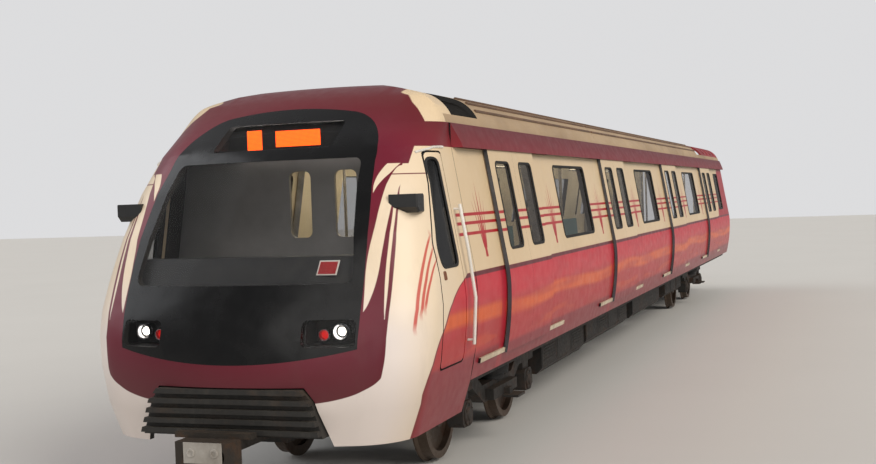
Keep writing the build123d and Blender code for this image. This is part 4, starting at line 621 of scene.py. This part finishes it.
def soften(name):
    """Shades a CAD node smoothly, with its true edges kept sharp. Its points stay as they are."""
    node = NODES[name]
    data = node.data
    custom = data.attributes.get("custom_normal")
    if custom is not None:
        data.attributes.remove(custom)
    data.polygons.foreach_set("use_smooth", [True] * len(data.polygons))
    weld = node.modifiers.new("weld", "WELD")
    weld.merge_threshold = 1 / STEPS_PER_METRE
    split = node.modifiers.new("edges", "EDGE_SPLIT")
    split.split_angle = math.radians(SHARP_FROM)


def islands(data):
    """Face indices grouped by solid, joining points that share a place."""
    keys = {}
    parent = list(range(len(data.polygons)))

    def find(i):
        while parent[i] != i:
            parent[i] = parent[parent[i]]
            i = parent[i]
        return i

    for polygon in data.polygons:
        for index in polygon.vertices:
            key = tuple(round(c * STEPS_PER_METRE) for c in data.vertices[index].co)
            if key in keys:
                a, b = find(polygon.index), find(keys[key])
                parent[a] = b
            else:
                keys[key] = polygon.index
    groups = {}
    for polygon in data.polygons:
        groups.setdefault(find(polygon.index), []).append(polygon.index)
    return list(groups.values())


def paint_solids(name, material, rule):
    """Gives whole solids of a node another material where the rule on their box says so."""
    data = NODES[name].data
    slot = add_slot(data, material)
    for group in islands(data):
        points = [data.vertices[i].co for g in group for i in data.polygons[g].vertices]
        low = Vector([min(c[k] for c in points) for k in range(3)])
        high = Vector([max(c[k] for c in points) for k in range(3)])
        if rule(low, high):
            for g in group:
                data.polygons[g].material_index = slot


def paint_faces(name, material, rule):
    """Gives the faces of a node another material where the rule on their middle and normal says so."""
    data = NODES[name].data
    slot = add_slot(data, material)
    for polygon in data.polygons:
        if rule(polygon.center, polygon.normal):
            polygon.material_index = slot


DOOR_NUMBERS, ENDS = (1, 2, 3, 4), ("front", "rear")
leaves = [f"door_leaf_{s}_{n}_{p}" for s in ("left", "right") for n in DOOR_NUMBERS for p in ENDS]
wheelsets = [f"wheelset_{p}_{e}" for p in ENDS for e in ("leading", "trailing")]
assign(body_paint, "cab_shell", "side_walls", "cab_door_left", "cab_door_right", *leaves)
assign(black_gloss, "front_mask")
assign(screen_glass, "windscreen")
assign(lens_clear, "front_lenses")
assign(side_glass, "side_windows")
assign(pod_plastic, "lamp_units", "camera_pods")
assign(rubber_black, "sign_box", "gangway_bellows", "bogie_springing_front", "bogie_springing_rear")
assign(track_paint(), "door_tracks")
assign(roof_cream, "roof_fairings", "roof")
assign(roof_grey, "air_conditioning_units")
assign(rear_crimson, "rear_roof_cowl")
assign(dark_steel, "underframe", "underfloor_equipment")
assign(buffer_steel, "anti_climber")
assign(floor_cover, "floor")
assign(end_white, "end_wall")
assign(cab_wall, "cab_partition")
assign(aluminium, "gangway_frame")
assign(bench_plastic, "seats")
assign(ceiling_paint, "saloon_ceiling")
assign(saloon_light, "saloon_lights")
assign(pole_steel, "grab_poles")
assign(desk_plastic, "cab_desk")
assign(seat_cloth, "driver_seat")
assign(rail_white, "cab_handrails")
assign(coupler_iron, "front_coupler", "rear_coupler")
assign(bogie_steel, "bogie_frame_front", "bogie_frame_rear", "motors_front", "motors_rear")
assign(wheel_steel, *wheelsets)
for name in NODES:
    soften(name)


CAB_MIDDLE = Vector((9.0, 0, 2.2))


def faces_in(centre, normal):
    return normal.y * centre.y < 0 and abs(normal.y) > 0.3


def outwardness(centre, normal):
    """How a face of the cab's skin looks: 1 straight out from the cab's middle, -1 straight in."""
    return (centre - CAB_MIDDLE).normalized().dot(normal)


def shell_inside(centre, normal):
    return outwardness(centre, normal) < -0.1


def shell_cut(centre, normal):
    """The cut edges of the cab's skin: doorways, and the openings for glass and lamps."""
    return -0.1 <= outwardness(centre, normal) < 0.30 and centre.z < GUTTER


def leaf_edge(centre, normal):
    return abs(normal.y) < 0.35


def window_cut(centre, normal):
    near = any(abs(centre.x - x) < width / 2 + 0.01 for x, width in SIDE_WINDOWS)
    return abs(normal.y) < 0.3 and near and abs(centre.z - WINDOW_Z) < WINDOW_HEIGHT / 2 + 0.01


def door_cut(centre, normal):
    return abs(normal.y) < 0.3 and any(abs(centre.x - door) < DOORWAY_HALF for door in DOORS)


def beam_bowl(centre, normal):
    return math.hypot(abs(centre.y) - BEAM_Y, centre.z - BEAM_Z) < 0.063


def bogie_part(low, high):
    return low.z < 0.5


for name in leaves:
    paint_faces(name, rubber_black, leaf_edge)
    paint_faces(name, rubber_grey, lambda c, n: abs(n.x) > 0.9 and min(abs(c.x - d) for d in DOORS) > 0.8)
    paint_faces(name, saloon_lining, faces_in)
    paint_solids(name, side_glass, lambda low, high: high.x - low.x < 0.6)
for name in ("cab_door_left", "cab_door_right"):
    paint_faces(name, rubber_black, leaf_edge)
    paint_faces(name, cab_lining, faces_in)
    paint_solids(name, cab_glass, lambda low, high: high.z - low.z < 1.2)
paint_faces("side_walls", saloon_lining, faces_in)
paint_faces("side_walls", rubber_black, window_cut)
paint_faces("side_walls", aluminium, door_cut)
paint_faces("cab_shell", cab_lining, shell_inside)
paint_faces("cab_shell", rubber_black, shell_cut)
paint_faces("front_mask", cab_lining, shell_inside)
# Near black on the fairings' end faces and undersides: painted shade at their open ends and under them
paint_faces("roof_fairings", rubber_black, lambda c, n: abs(n.x) > 0.9 or n.z < -0.3)
paint_faces("roof", ceiling_paint, lambda c, n: n.z < -0.3)
paint_faces("lamp_units", lamp_metal, beam_bowl)
paint_faces("floor", dark_steel, lambda c, n: n.z < 0.5)
paint_faces("seats", aluminium, lambda c, n: abs(n.x) > 0.9)
paint_solids("bogie_springing_front", bogie_steel, bogie_part)
paint_solids("bogie_springing_rear", bogie_steel, bogie_part)


# Pieces
def rings_of(count, sides):
    """Point numbers of rings that follow one another."""
    return [range(i * sides, (i + 1) * sides) for i in range(count)]


def bands(rings, closed=False):
    """Faces that join each ring of points to the next, and the last to the first where closed."""
    faces = []
    for a, b in list(zip(rings, rings[1:])) + ([(rings[-1], rings[0])] if closed else []):
        for k in range(len(a)):
            j = (k + 1) % len(a)
            faces.append([a[k], a[j], b[j], b[k]])
    return faces


def circle(middle, radius, across, up, sides):
    turns = [2 * math.pi * k / sides for k in range(sides)]
    return [middle + radius * (math.cos(t) * across + math.sin(t) * up) for t in turns]


class Maker:
    """Gathers simple parts into one mesh: boxes with broken edges, tubes, turned parts and bands."""

    def __init__(self):
        self.points, self.faces, self.slots = [], [], []

    def add(self, points, faces, slot=0):
        start = len(self.points)
        self.points += [tuple(p) for p in points]
        self.faces += [tuple(start + i for i in face) for face in faces]
        self.slots += [slot] * len(faces)

    def box(self, low, high, edge=0.004, turn=None, slot=0):
        """A box with broken edges, turned about its middle by a matrix where one is given."""
        low, high = Vector(low), Vector(high)
        edge = min([edge] + [0.4 * (high[k] - low[k]) for k in range(3)])
        corners = [(a, b, c) for a in (0, 1) for b in (0, 1) for c in (0, 1)]
        points, faces, index = [], [], {}
        for corner in corners:
            for flat in range(3):
                index[corner, flat] = len(points)
                points.append(Vector([
                    (low, high)[s][k] + (0 if k == flat else edge * (1 - 2 * s)) for k, s in enumerate(corner)
                ]))
        for flat in range(3):
            b, c = (flat + 1) % 3, (flat + 2) % 3

            def corner_at(s, sb, sc):
                return tuple({flat: s, b: sb, c: sc}[k] for k in range(3))

            for s in (0, 1):
                faces.append([index[corner_at(s, *pair), flat] for pair in ((0, 0), (1, 0), (1, 1), (0, 1))])
            for sb in (0, 1):
                for sc in (0, 1):
                    near, far = corner_at(0, sb, sc), corner_at(1, sb, sc)
                    faces.append([index[near, b], index[far, b], index[far, c], index[near, c]])
        faces += [[index[corner, k] for k in range(3)] for corner in corners]
        if turn is not None:
            middle = (low + high) / 2
            points = [middle + turn @ (p - middle) for p in points]
        self.add(points, faces, slot)

    def tube(self, path, radius, sides=8, slot=0, closed=False):
        path = [Vector(p) for p in path]
        count = len(path)
        across = (path[1] - path[0]).orthogonal().normalized()
        points = []
        for i, p in enumerate(path):
            if closed:
                way = (path[(i + 1) % count] - path[i - 1]).normalized()
            else:
                way = (path[min(i + 1, count - 1)] - path[max(i - 1, 0)]).normalized()
            across = (across - way * across.dot(way)).normalized()
            up = way.cross(across)
            points += circle(p, radius, across, up, sides)
        rings = rings_of(count, sides)
        self.add(points, bands(rings, closed) + ([] if closed else [rings[0], rings[-1]]), slot)

    def turned(self, at, way, profile, sides=24, slot=0):
        """A turned part: (distance along the axis, radius) from one end to the other."""
        at, way = Vector(at), Vector(way).normalized()
        across = way.orthogonal().normalized()
        up = way.cross(across)
        points, rings = [], []
        for along, radius in profile:
            start, middle = len(points), at + way * along
            rings.append(range(start, start + sides) if radius else [start] * sides)
            points += circle(middle, radius, across, up, sides) if radius else [middle]
        faces = [list(dict.fromkeys(face)) for face in bands(rings)]
        self.add(points, faces + [ring for ring in (rings[0], rings[-1]) if isinstance(ring, range)], slot)

    def bolt(self, at, way, radius=0.012, height=0.010, slot=0):
        """A hexagon head on a washer."""
        self.turned(at, way, ((-0.002, radius * 1.45), (0.002, radius * 1.45)), 12, slot)
        self.turned(at, way, ((0.0, radius), (height * 0.8, radius), (height, radius * 0.8)), 6, slot)

    def ring(self, outline, place, out, width, height, sink=0.003, slot=0):
        """A rubber frame round an opening. place(x, z, out) gives a point of the skin lifted by out."""
        section = ((width, -sink), (width * 0.75, height), (0.0, height), (-width * 0.35, -sink))
        points = []
        for i, (x, z) in enumerate(outline):
            (xa, za), (xb, zb) = outline[i - 1], outline[(i + 1) % len(outline)]
            length = math.hypot(xb - xa, zb - za)
            nx, nz = (zb - za) / length, -(xb - xa) / length
            points += [place(x + nx * step, z + nz * step, out + lift) for step, lift in section]
        self.add(points, bands(rings_of(len(outline), len(section)), closed=True), slot)

    def piece(self, name, materials, body=CAR_BODY, angle=35):
        """The finished object, riding on a body, smooth but for its real edges."""
        mesh = bpy.data.meshes.new(name)
        mesh.from_pydata(self.points, [], self.faces)
        for material in materials if isinstance(materials, (list, tuple)) else [materials]:
            mesh.materials.append(material)
        mesh.polygons.foreach_set("material_index", self.slots)
        work = bmesh.new()
        work.from_mesh(mesh)
        bmesh.ops.recalc_face_normals(work, faces=work.faces)
        for face in work.faces:
            face.smooth = True
        for edge in work.edges:
            edge.smooth = edge.is_manifold and edge.calc_face_angle(0) < math.radians(angle)
        work.to_mesh(mesh)
        work.free()
        obj = bpy.data.objects.new(name, mesh)
        bpy.context.scene.collection.objects.link(obj)
        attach(obj, body)
        return obj


def rounded(points, radius, steps=6):
    """An outline with its corners eased, anticlockwise in x and z."""
    eased = []
    count = len(points)
    for i, (x, z) in enumerate(points):
        (xa, za), (xb, zb) = points[i - 1], points[(i + 1) % count]
        la, lb = math.hypot(x - xa, z - za), math.hypot(xb - x, zb - z)
        start = (x - (x - xa) * radius / la, z - (z - za) * radius / la)
        end = (x + (xb - x) * radius / lb, z + (zb - z) * radius / lb)
        for step in range(steps + 1):
            t = step / steps
            pulls = ((1 - t) ** 2, 2 * t * (1 - t), t ** 2)
            ways = zip(start, (x, z), end)
            eased.append(tuple(sum(pull * v for pull, v in zip(pulls, way)) for way in ways))
    return eased


def split_sides(outline, longest=0.12):
    """More points on an outline's long sides, so that a ring on it follows the car's bulge."""
    full = []
    for i, (x, z) in enumerate(outline):
        xb, zb = outline[(i + 1) % len(outline)]
        parts = max(1, math.ceil(math.hypot(xb - x, zb - z) / longest))
        for k in range(parts):
            full.append((x + (xb - x) * k / parts, z + (zb - z) * k / parts))
    return full


def frame_outline(x, width, z, height, radius):
    """An upright rectangle with eased corners."""
    ways = ((-1, -1), (1, -1), (1, 1), (-1, 1))
    return split_sides(rounded([(x + a * width / 2, z + b * height / 2) for a, b in ways], radius))


def on_side(sign):
    return lambda x, z, out: (x, sign * side_y(z, -out), z)


def on_cab(sign):
    return lambda x, z, out: (x, sign * (nose_y(x, z) + out), z)


SIDES = {"left": 1, "right": -1}
# Width and height of the frames round openings
WINDOW_RUBBER, LEAF_RUBBER = (0.026, 0.007), (0.022, 0.006)
CAB_DOOR_RUBBER, LOCK_RIM = (0.020, 0.006), (0.008, 0.003)
cab_outline = split_sides(rounded([(x, RAIL + z) for x, z in CAB_WINDOW], WINDOW_CORNER))
lock_outline = frame_outline(10.262, 0.055, RAIL + 1.875, 0.060, 0.012)
frames = Maker()
for sign in SIDES.values():
    for x, width in SIDE_WINDOWS:
        outline = frame_outline(x, width, WINDOW_Z, WINDOW_HEIGHT, WINDOW_CORNER)
        frames.ring(outline, on_side(sign), 0.0, *WINDOW_RUBBER)
frames.piece("window_frames", rubber_black)
for label, sign in SIDES.items():
    for number, door in zip(DOOR_NUMBERS, DOORS):
        for place, way in zip(ENDS, (1, -1)):
            outline = frame_outline(door + way * (LEAF_GAP + LEAF_WIDTH) / 2, *LEAF_WINDOW)
            trim = Maker()
            trim.ring(outline, on_side(sign), LEAF_OUT, *LEAF_RUBBER)
            trim.piece(f"leaf_trim_{label}_{number}_{place}", rubber_black, f"leaf_{label}_{number}_{place}")
    door_trim = Maker()
    door_trim.ring(cab_outline, on_cab(sign), 0.0, *CAB_DOOR_RUBBER)
    door_trim.ring(lock_outline, on_cab(sign), 0.0, *LOCK_RIM, slot=1)
    plate = [on_cab(sign)(x, z, 0.001) for x, z in lock_outline]
    door_trim.add(plate, [range(len(plate))], 1)
    door_trim.piece(f"cab_door_trim_{label}", [rubber_black, lock_brass], f"cab_door_{label}")

# Drip mouldings over the cab doors, lower at their front ends, white all over: a painted highlight along them
DRIP_START, DRIP_LENGTH, DRIP_Z, DRIP_FALL, DRIP_STEPS = 9.72, 0.40, RAIL + 2.945, 0.05, 12
drips = Maker()
for sign in SIDES.values():
    path = []
    for i in range(DRIP_STEPS + 1):
        t = i / DRIP_STEPS
        x = DRIP_START + DRIP_LENGTH * t
        path.append((x, DRIP_Z - DRIP_FALL * t ** 2 * (1 if t > 0.5 else 0.5)))
    drips.tube([(x, sign * (nose_y(x, z) + 0.004), z) for x, z in path], 0.011)
drips.piece("cab_drip_rails", rail_white)

# Lamps: white beams in bowls, dim red markers beside them. A profile is (distance out, radius)
BEAM_BOWL = ((0.0, 0.060), (0.045, 0.062), (0.045, 0.056), (0.018, 0.046), (0.004, 0.044), (0.0, 0.044))
BEAM_LENS = ((0.004, 0.034), (0.012, 0.028), (0.017, 0.014), (0.018, 0.0))
MARKER_BOWL = ((0.0, 0.045), (0.030, 0.046), (0.030, 0.041), (0.012, 0.034), (0.004, 0.033), (0.0, 0.033))
MARKER_LENS = ((0.004, 0.032), (0.010, 0.026), (0.014, 0.012), (0.015, 0.0))
bowls, beams, reds = Maker(), Maker(), Maker()
for sign in SIDES.values():
    white, red = (LAMP_X, sign * BEAM_Y, BEAM_Z), (LAMP_X, sign * MARKER_Y, MARKER_Z)
    bowls.turned(white, FORWARD, BEAM_BOWL, 28)
    beams.turned(white, FORWARD, BEAM_LENS)
    bowls.turned(red, FORWARD, MARKER_BOWL)
    reds.turned(red, FORWARD, MARKER_LENS, 20)
bowls.piece("lamp_bowls", lamp_metal)
beams.piece("headlamps", beam_white)
reds.piece("marker_lamps", tail_red)

# Route sign: lit blocks with nothing written on them, as (low y, high y, low z, high z)
SIGN_X = (10.034, 10.042)
blocks = Maker()
for y0, y1, z0, z1 in ((-0.368, -0.223, 3.010, 3.182), (-0.090, 0.335, 3.030, 3.168)):
    blocks.box((SIGN_X[0], y0, z0), (SIGN_X[1], y1, z1), 0.003)
blocks.piece("sign_blocks", sign_amber)

# Cab: light over the back wall, and a blank plate that leans behind the glass
shelf = Maker()
shelf.box((9.5405, -0.70, 3.055), (9.605, 0.70, 3.120), 0.008)
shelf.piece("cab_lamp", cab_light)
plate = Maker()
plate_lean = Matrix.Rotation(math.radians(-37), 3, "Y")
plate.box((10.868, 0.660, 1.950), (10.874, 0.835, 2.090), 0.002, plate_lean)
plate.box((10.8745, 0.672, 1.962), (10.8775, 0.823, 2.078), 0.001, plate_lean, slot=1)
plate.piece("red_plate", [rail_white, plate_red])

# Desk fittings on its rear slope: displays, as (across, half width, up, half height), each in layers,
# as (out, half depth, rim, broken edge), and handles
DESK_LOW, DESK_HIGH = Vector((10.42, 0, 1.798)), Vector((10.62, 0, 2.108))
DISPLAYS = ((0.52, 0.16, 0.20, 0.10), (-0.52, 0.16, 0.20, 0.10), (0.0, 0.13, 0.22, 0.09))
DISPLAY_LAYERS = ((0.010, 0.014, 0.0, 0.006), (0.026, 0.001, 0.02, 0.001))
HANDLE = ((0, 0.03), (0.02, 0.03), (0.02, 0.012), (0.09, 0.010), (0.10, 0.024), (0.135, 0.024), (0.14, 0.0))
slope_way = (DESK_HIGH - DESK_LOW).normalized()
slope_out = Vector((-slope_way.z, 0, slope_way.x))
tilt = Matrix((slope_out, (0, 1, 0), slope_way)).transposed()


def on_slope(across, up, out):
    return DESK_LOW + slope_way * up + slope_out * out + Vector((0, across, 0))


desk = Maker()
for across, half_width, up, half_height in DISPLAYS:
    for slot, (out, half_depth, rim, edge) in enumerate(DISPLAY_LAYERS):
        middle = on_slope(across, up, out)
        size = Vector((half_depth, half_width - rim, half_height - rim))
        desk.box(middle - size, middle + size, edge, tilt, slot)
for across in (-0.80, 0.80, -0.28, 0.28):
    desk.turned(on_slope(across, 0.12, 0.0), slope_out, HANDLE, 14)
desk.piece("desk_fittings", [pod_plastic, black_gloss])

# Driver's seat: a base with two crowned cushions
SEAT_STEM = ((0, 0.21), (0.012, 0.21), (0.020, 0.19), (0.03, 0.07), (0.30, 0.06), (0.34, 0.12), (0.370, 0.12))
base = Maker()
base.turned((9.98, 0, CAB_FLOOR), UP, SEAT_STEM, 28)
base.box((9.76, -0.19, 1.425), (10.17, 0.19, 1.445), 0.008)
base.box((9.70, -0.035, 1.44), (9.725, 0.035, 1.62), 0.006)
base.piece("seat_base", pod_plastic)

# A cushion's rows, how far its sides draw in, and how much of its fullness is square, not crowned
PAD_STEPS, PAD_PULL, PAD_SQUARE = 14, 0.035, 0.78


def cushion(name, low, high):
    """A crowned closed pad: full in the middle, drawn in at its edges and corners."""
    low, high = Vector(low), Vector(high)
    middle, half = (low + high) / 2, (high - low) / 2
    thin = min(range(3), key=lambda k: half[k])
    a, b = [k for k in range(3) if k != thin]
    ways = [2 * i / PAD_STEPS - 1 for i in range(PAD_STEPS + 1)]
    points, faces, index = [], [], {}
    for s in (-1, 1):
        for i, u in enumerate(ways):
            for j, v in enumerate(ways):
                if s == 1 and max(abs(u), abs(v)) > 0.9999:
                    index[s, i, j] = index[-1, i, j]
                    continue
                square = ((1 - abs(u) ** 6) * (1 - abs(v) ** 6)) ** 0.35
                crown = (1 - u * u) * (1 - v * v)
                p = [0, 0, 0]
                p[a] = half[a] * u * (1 - PAD_PULL * (1 - v * v) * abs(u) ** 8)
                p[b] = half[b] * v * (1 - PAD_PULL * (1 - u * u) * abs(v) ** 8)
                p[thin] = s * half[thin] * (PAD_SQUARE * square + (1 - PAD_SQUARE) * crown)
                index[s, i, j] = len(points)
                points.append(middle + Vector(p))
    for s in (-1, 1):
        for i in range(PAD_STEPS):
            for j in range(PAD_STEPS):
                ring = [index[s, i, j], index[s, i + 1, j], index[s, i + 1, j + 1], index[s, i, j + 1]]
                faces.append(list(dict.fromkeys(ring)))
    pad = Maker()
    pad.add(points, [face for face in faces if len(face) > 2])
    obj = pad.piece(name, seat_cloth, angle=170)
    smooth = obj.modifiers.new("round", "SUBSURF")
    smooth.levels = smooth.render_levels = 1
    return obj


pan = cushion("seat_pan", (9.73, -0.25, 1.440), (10.23, 0.25, 1.528))
back = cushion("seat_back", (9.68, -0.23, 1.500), (9.78, 0.23, 2.018))
for pad in (pan, back):
    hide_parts("driver_seat")

# Bellows: five folds of cloth round the gangway
FOLDS, FOLD_STEPS, FOLD_DEPTH = 5, 10, 0.055
BELLOWS_REAR, BELLOWS_FRONT = -11.526, -11.275
BELLOWS_LOW, BELLOWS_HIGH, BELLOWS_HALF = 1.068, 3.278, 0.850
OPENING_LOW, OPENING_HIGH, OPENING_HALF = 1.178, 3.078, 0.650


def bellows_section(x, half_width, low, high, radius):
    corners = [(-half_width, low), (half_width, low), (half_width, high), (-half_width, high)]
    return [(x, y, z) for y, z in rounded(corners, radius, 5)]


outer, inner = [], []
for i in range(FOLDS * FOLD_STEPS + 1):
    t = i / (FOLDS * FOLD_STEPS)
    x = BELLOWS_REAR + (BELLOWS_FRONT - BELLOWS_REAR) * t
    dip = FOLD_DEPTH * (0.5 + 0.5 * math.cos(2 * math.pi * t * FOLDS))
    outer.append(bellows_section(x, BELLOWS_HALF - dip, BELLOWS_LOW + dip, BELLOWS_HIGH - dip, 0.11))
    inner.append(bellows_section(x, OPENING_HALF + dip, OPENING_LOW, OPENING_HIGH, 0.08))
rings = rings_of(2 * len(outer), len(outer[0]))
outer_rings, inner_rings = rings[:len(outer)], rings[len(outer):]
faces = bands(outer_rings) + bands(inner_rings)
for end in (0, -1):
    faces += bands([outer_rings[end], inner_rings[end]])
bellows = Maker()
bellows.add([point for section in outer + inner for point in section], faces)
folds = bellows.piece("bellows_folds", bellows_fabric, CAR_BODY, angle=60)
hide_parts("gangway_bellows")

# Roof: long ridges on the fairings, fan grilles in the cooling units
RIDGE_RUNS, RIDGE_STEPS = ((8.40, 3.26), (3.19, -2.05), (-2.12, -7.37)), 12
GRILLE_Z, GRILLE_RINGS_Z, GRILLE_BARS_Z, GRILLE_BAR = 3.490, 3.526, 3.520, 0.285
GRILLE_RIM = ((0.0, 0.30), (0.034, 0.30), (0.038, 0.29), (0.034, 0.27), (0.0, 0.27))
ridges = Maker()
for start, end in RIDGE_RUNS:
    steps = [start - i * (start - end) / RIDGE_STEPS for i in range(RIDGE_STEPS + 1)]
    for y in (1.215, 1.130, 1.020):
        for sign in SIDES.values():
            ridges.tube([(x, sign * y, roof_z(y) + 0.004) for x in steps], 0.016)
ridges.piece("roof_ridges", roof_ridge)
grilles = Maker()
for x in [middle + shift for middle in (5.6, -4.7) for shift in (-0.9, 0.0, 0.9)]:
    grilles.turned((x, 0, GRILLE_Z), UP, GRILLE_RIM, 36)
    for radius in (0.06, 0.12, 0.18, 0.24):
        turns = [t / 24 * 2 * math.pi for t in range(24)]
        ring = [(x + radius * math.cos(t), radius * math.sin(t), GRILLE_RINGS_Z) for t in turns]
        grilles.tube(ring, 0.004, 5, closed=True)
    for k in range(6):
        c, s = GRILLE_BAR * math.cos(k * math.pi / 6), GRILLE_BAR * math.sin(k * math.pi / 6)
        grilles.tube([(x - c, -s, GRILLE_BARS_Z), (x + c, s, GRILLE_BARS_Z)], 0.005, 5)
grilles.piece("fan_grilles", dark_steel)

# Anti-climber: bolts
BUFFER_X = 11.113
bolts = Maker()
for sign in SIDES.values():
    for y in (0.18, 0.42, 0.60):
        for z in (0.80, 0.90):
            bolts.bolt((BUFFER_X, sign * y, z), FORWARD, 0.014, 0.010)
bolts.piece("anti_climber_bolts", buffer_steel)

# Front coupler: a pale plate with round ports
PORT = ((0, 0.036), (0.008, 0.036), (0.012, 0.031), (0.012, 0.020), (0.004, 0.018), (0.004, 0.0))
face = Maker()
face.box((11.622, -0.165, 0.605), (11.628, 0.165, 0.765), 0.002)
for y in (-0.10, 0.10):
    face.turned((11.626, y, 0.685), FORWARD, PORT, 20)
face.piece("coupler_ports_front", pale_plate, "front_coupler")

# Near-black screens that close the fairings' open ends: painted shade inside them
SCREEN_HALF, SCREEN_LOW, SCREEN_THICK, SCREEN_STEPS = 1.20, 3.262, 0.006, 28
shade_screens = Maker()
for x in (8.430, -7.370):
    points = []
    for i in range(SCREEN_STEPS + 1):
        y = -SCREEN_HALF + 2 * SCREEN_HALF * i / SCREEN_STEPS
        heights = (SCREEN_LOW, roof_z(y) - 0.030)
        points += [(x, y, z) for z in heights] + [(x + SCREEN_THICK, y, z) for z in heights[::-1]]
    rings = rings_of(SCREEN_STEPS + 1, 4)
    shade_screens.add(points, bands(rings) + [rings[0], rings[-1]])
shade_screens.piece("fairing_shade_screens", pod_plastic)

# Bogies: axle-box covers with their bolts
COVER = ((0, 0.115), (0.012, 0.115), (0.018, 0.108), (0.018, 0.07), (0.034, 0.06), (0.038, 0.0))
COVER_Y, COVER_BOLTS_R, COVER_BOLTS = 1.094, 0.092, 6
for place, middle in BOGIES.items():
    covers = Maker()
    for shift in (AXLE_SHIFT, -AXLE_SHIFT):
        for sign in SIDES.values():
            at, way = Vector((middle + shift, sign * COVER_Y, AXLE_Z)), (0, sign, 0)
            covers.turned(at, way, COVER, 32)
            for k in range(COVER_BOLTS):
                t = 2 * math.pi * (k + 0.5) / COVER_BOLTS
                spot = Vector((COVER_BOLTS_R * math.cos(t), sign * 0.016, COVER_BOLTS_R * math.sin(t)))
                covers.bolt(at + spot, way, 0.011, 0.009)
    covers.piece(f"axle_covers_{place}", bogie_steel, f"{place}_bogie")

# Underfloor cases, as (start, end, foot of the lids): lids, every other one with louvres, and latches
CASES = ((3.45, 5.70, 0.50), (0.30, 3.30, 0.53), (-5.70, -3.60, 0.54))
CASE_Y, LID_LENGTH, LID_MARGIN, LID_TOP, LOUVRES, LOUVRE_STEP = 1.080, 0.75, 0.04, 0.84, 6, 0.038
cases = Maker()
for start, end, low in CASES:
    count = round((end - start) / LID_LENGTH)
    width = (end - start) / count
    for sign in SIDES.values():
        y, on_case = sign * CASE_Y, lambda x, z, out: (x, y + sign * out, z)
        slant = Matrix.Rotation(math.radians(-25 * sign), 3, "X")
        for k in range(count):
            a, b = start + k * width + LID_MARGIN, start + (k + 1) * width - LID_MARGIN
            lid = [(a, low), (b, low), (b, LID_TOP), (a, LID_TOP)]
            cases.ring(rounded(lid, 0.02, 3), on_case, 0.0, 0.012, 0.004)
            for row in range(LOUVRES if k % 2 == 0 else 0):
                z = low + LID_MARGIN + row * LOUVRE_STEP
                cases.box((a + 0.08, y - 0.003, z), (b - 0.08, y + 0.003, z + 0.026), 0.001, slant)
            for x in (a + 0.05, b - 0.05):
                cases.box((x - 0.02, y - 0.008, LID_TOP - 0.04), (x + 0.02, y + 0.008, LID_TOP - 0.01), 0.003)
cases.piece("case_lids", dark_steel)

# Saloon: hand rails under the ceiling, on hangers
HAND_RAIL_Y, HAND_RAIL_Z = 0.62, CEILING - 0.16
hand_rails = Maker()
for y in (HAND_RAIL_Y, -HAND_RAIL_Y):
    for x0, x1 in ((3.2, 7.1), (-2.0, 1.9), (-7.1, -3.2)):
        middle = (x0 + x1) / 2
        hand_rails.tube([(x, y, HAND_RAIL_Z) for x in (x0, middle, x1)], 0.016, 10)
        for x in (x0 + 0.05, middle, x1 - 0.05):
            hand_rails.tube([(x, y, HAND_RAIL_Z), (x, y, CEILING + 0.004)], 0.010)
hand_rails.piece("hand_rails", pole_steel)

# Floor and light
bpy.ops.mesh.primitive_plane_add(size=160, location=(0, 0, 0))
floor = bpy.context.object
floor.name = "studio_floor"
floor_paint = Paint("studio_floor")
floor_tone = floor_paint.mix(floor_paint.noise(0.3), (0.80, 0.79, 0.77), (0.78, 0.77, 0.75))
floor_paint.set(Base_Color=floor_tone, Roughness=0.75)
floor.data.materials.append(floor_paint.material)

world = bpy.data.worlds.new("studio")
world.use_nodes = True
tree = world.node_tree
ambient, backdrop = tree.nodes["Background"], tree.nodes.new("ShaderNodeBackground")
for shader, tone, strength in ((ambient, (0.78, 0.78, 0.80, 1), 0.50), (backdrop, (0.72, 0.72, 0.73, 1), 1.0)):
    shader.inputs[0].default_value = tone
    shader.inputs[1].default_value = strength
seen = tree.nodes.new("ShaderNodeLightPath")
choice = tree.nodes.new("ShaderNodeMixShader")
tree.links.new(seen.outputs["Is Camera Ray"], choice.inputs[0])
tree.links.new(ambient.outputs[0], choice.inputs[1])
tree.links.new(backdrop.outputs[0], choice.inputs[2])
tree.links.new(choice.outputs[0], tree.nodes["World Output"].inputs[0])
bpy.context.scene.world = world


def soft_light(name, at, power, tone, spread):
    """A broad, even light that comes from a direction."""
    data = bpy.data.lights.new(name, "SUN")
    data.energy = power
    data.color = tone
    data.angle = math.radians(spread)
    lamp = bpy.data.objects.new(name, data)
    lamp.rotation_euler = (-Vector(at)).to_track_quat("-Z", "Y").to_euler()
    bpy.context.scene.collection.objects.link(lamp)


soft_light("key", (6, 16, 12), 2.1, (1.0, 0.95, 0.88), 40)
soft_light("front", (24, 4, 9), 0.9, (1.0, 0.97, 0.93), 50)
soft_light("far_side", (2, -16, 11), 0.9, (0.95, 0.97, 1.0), 50)
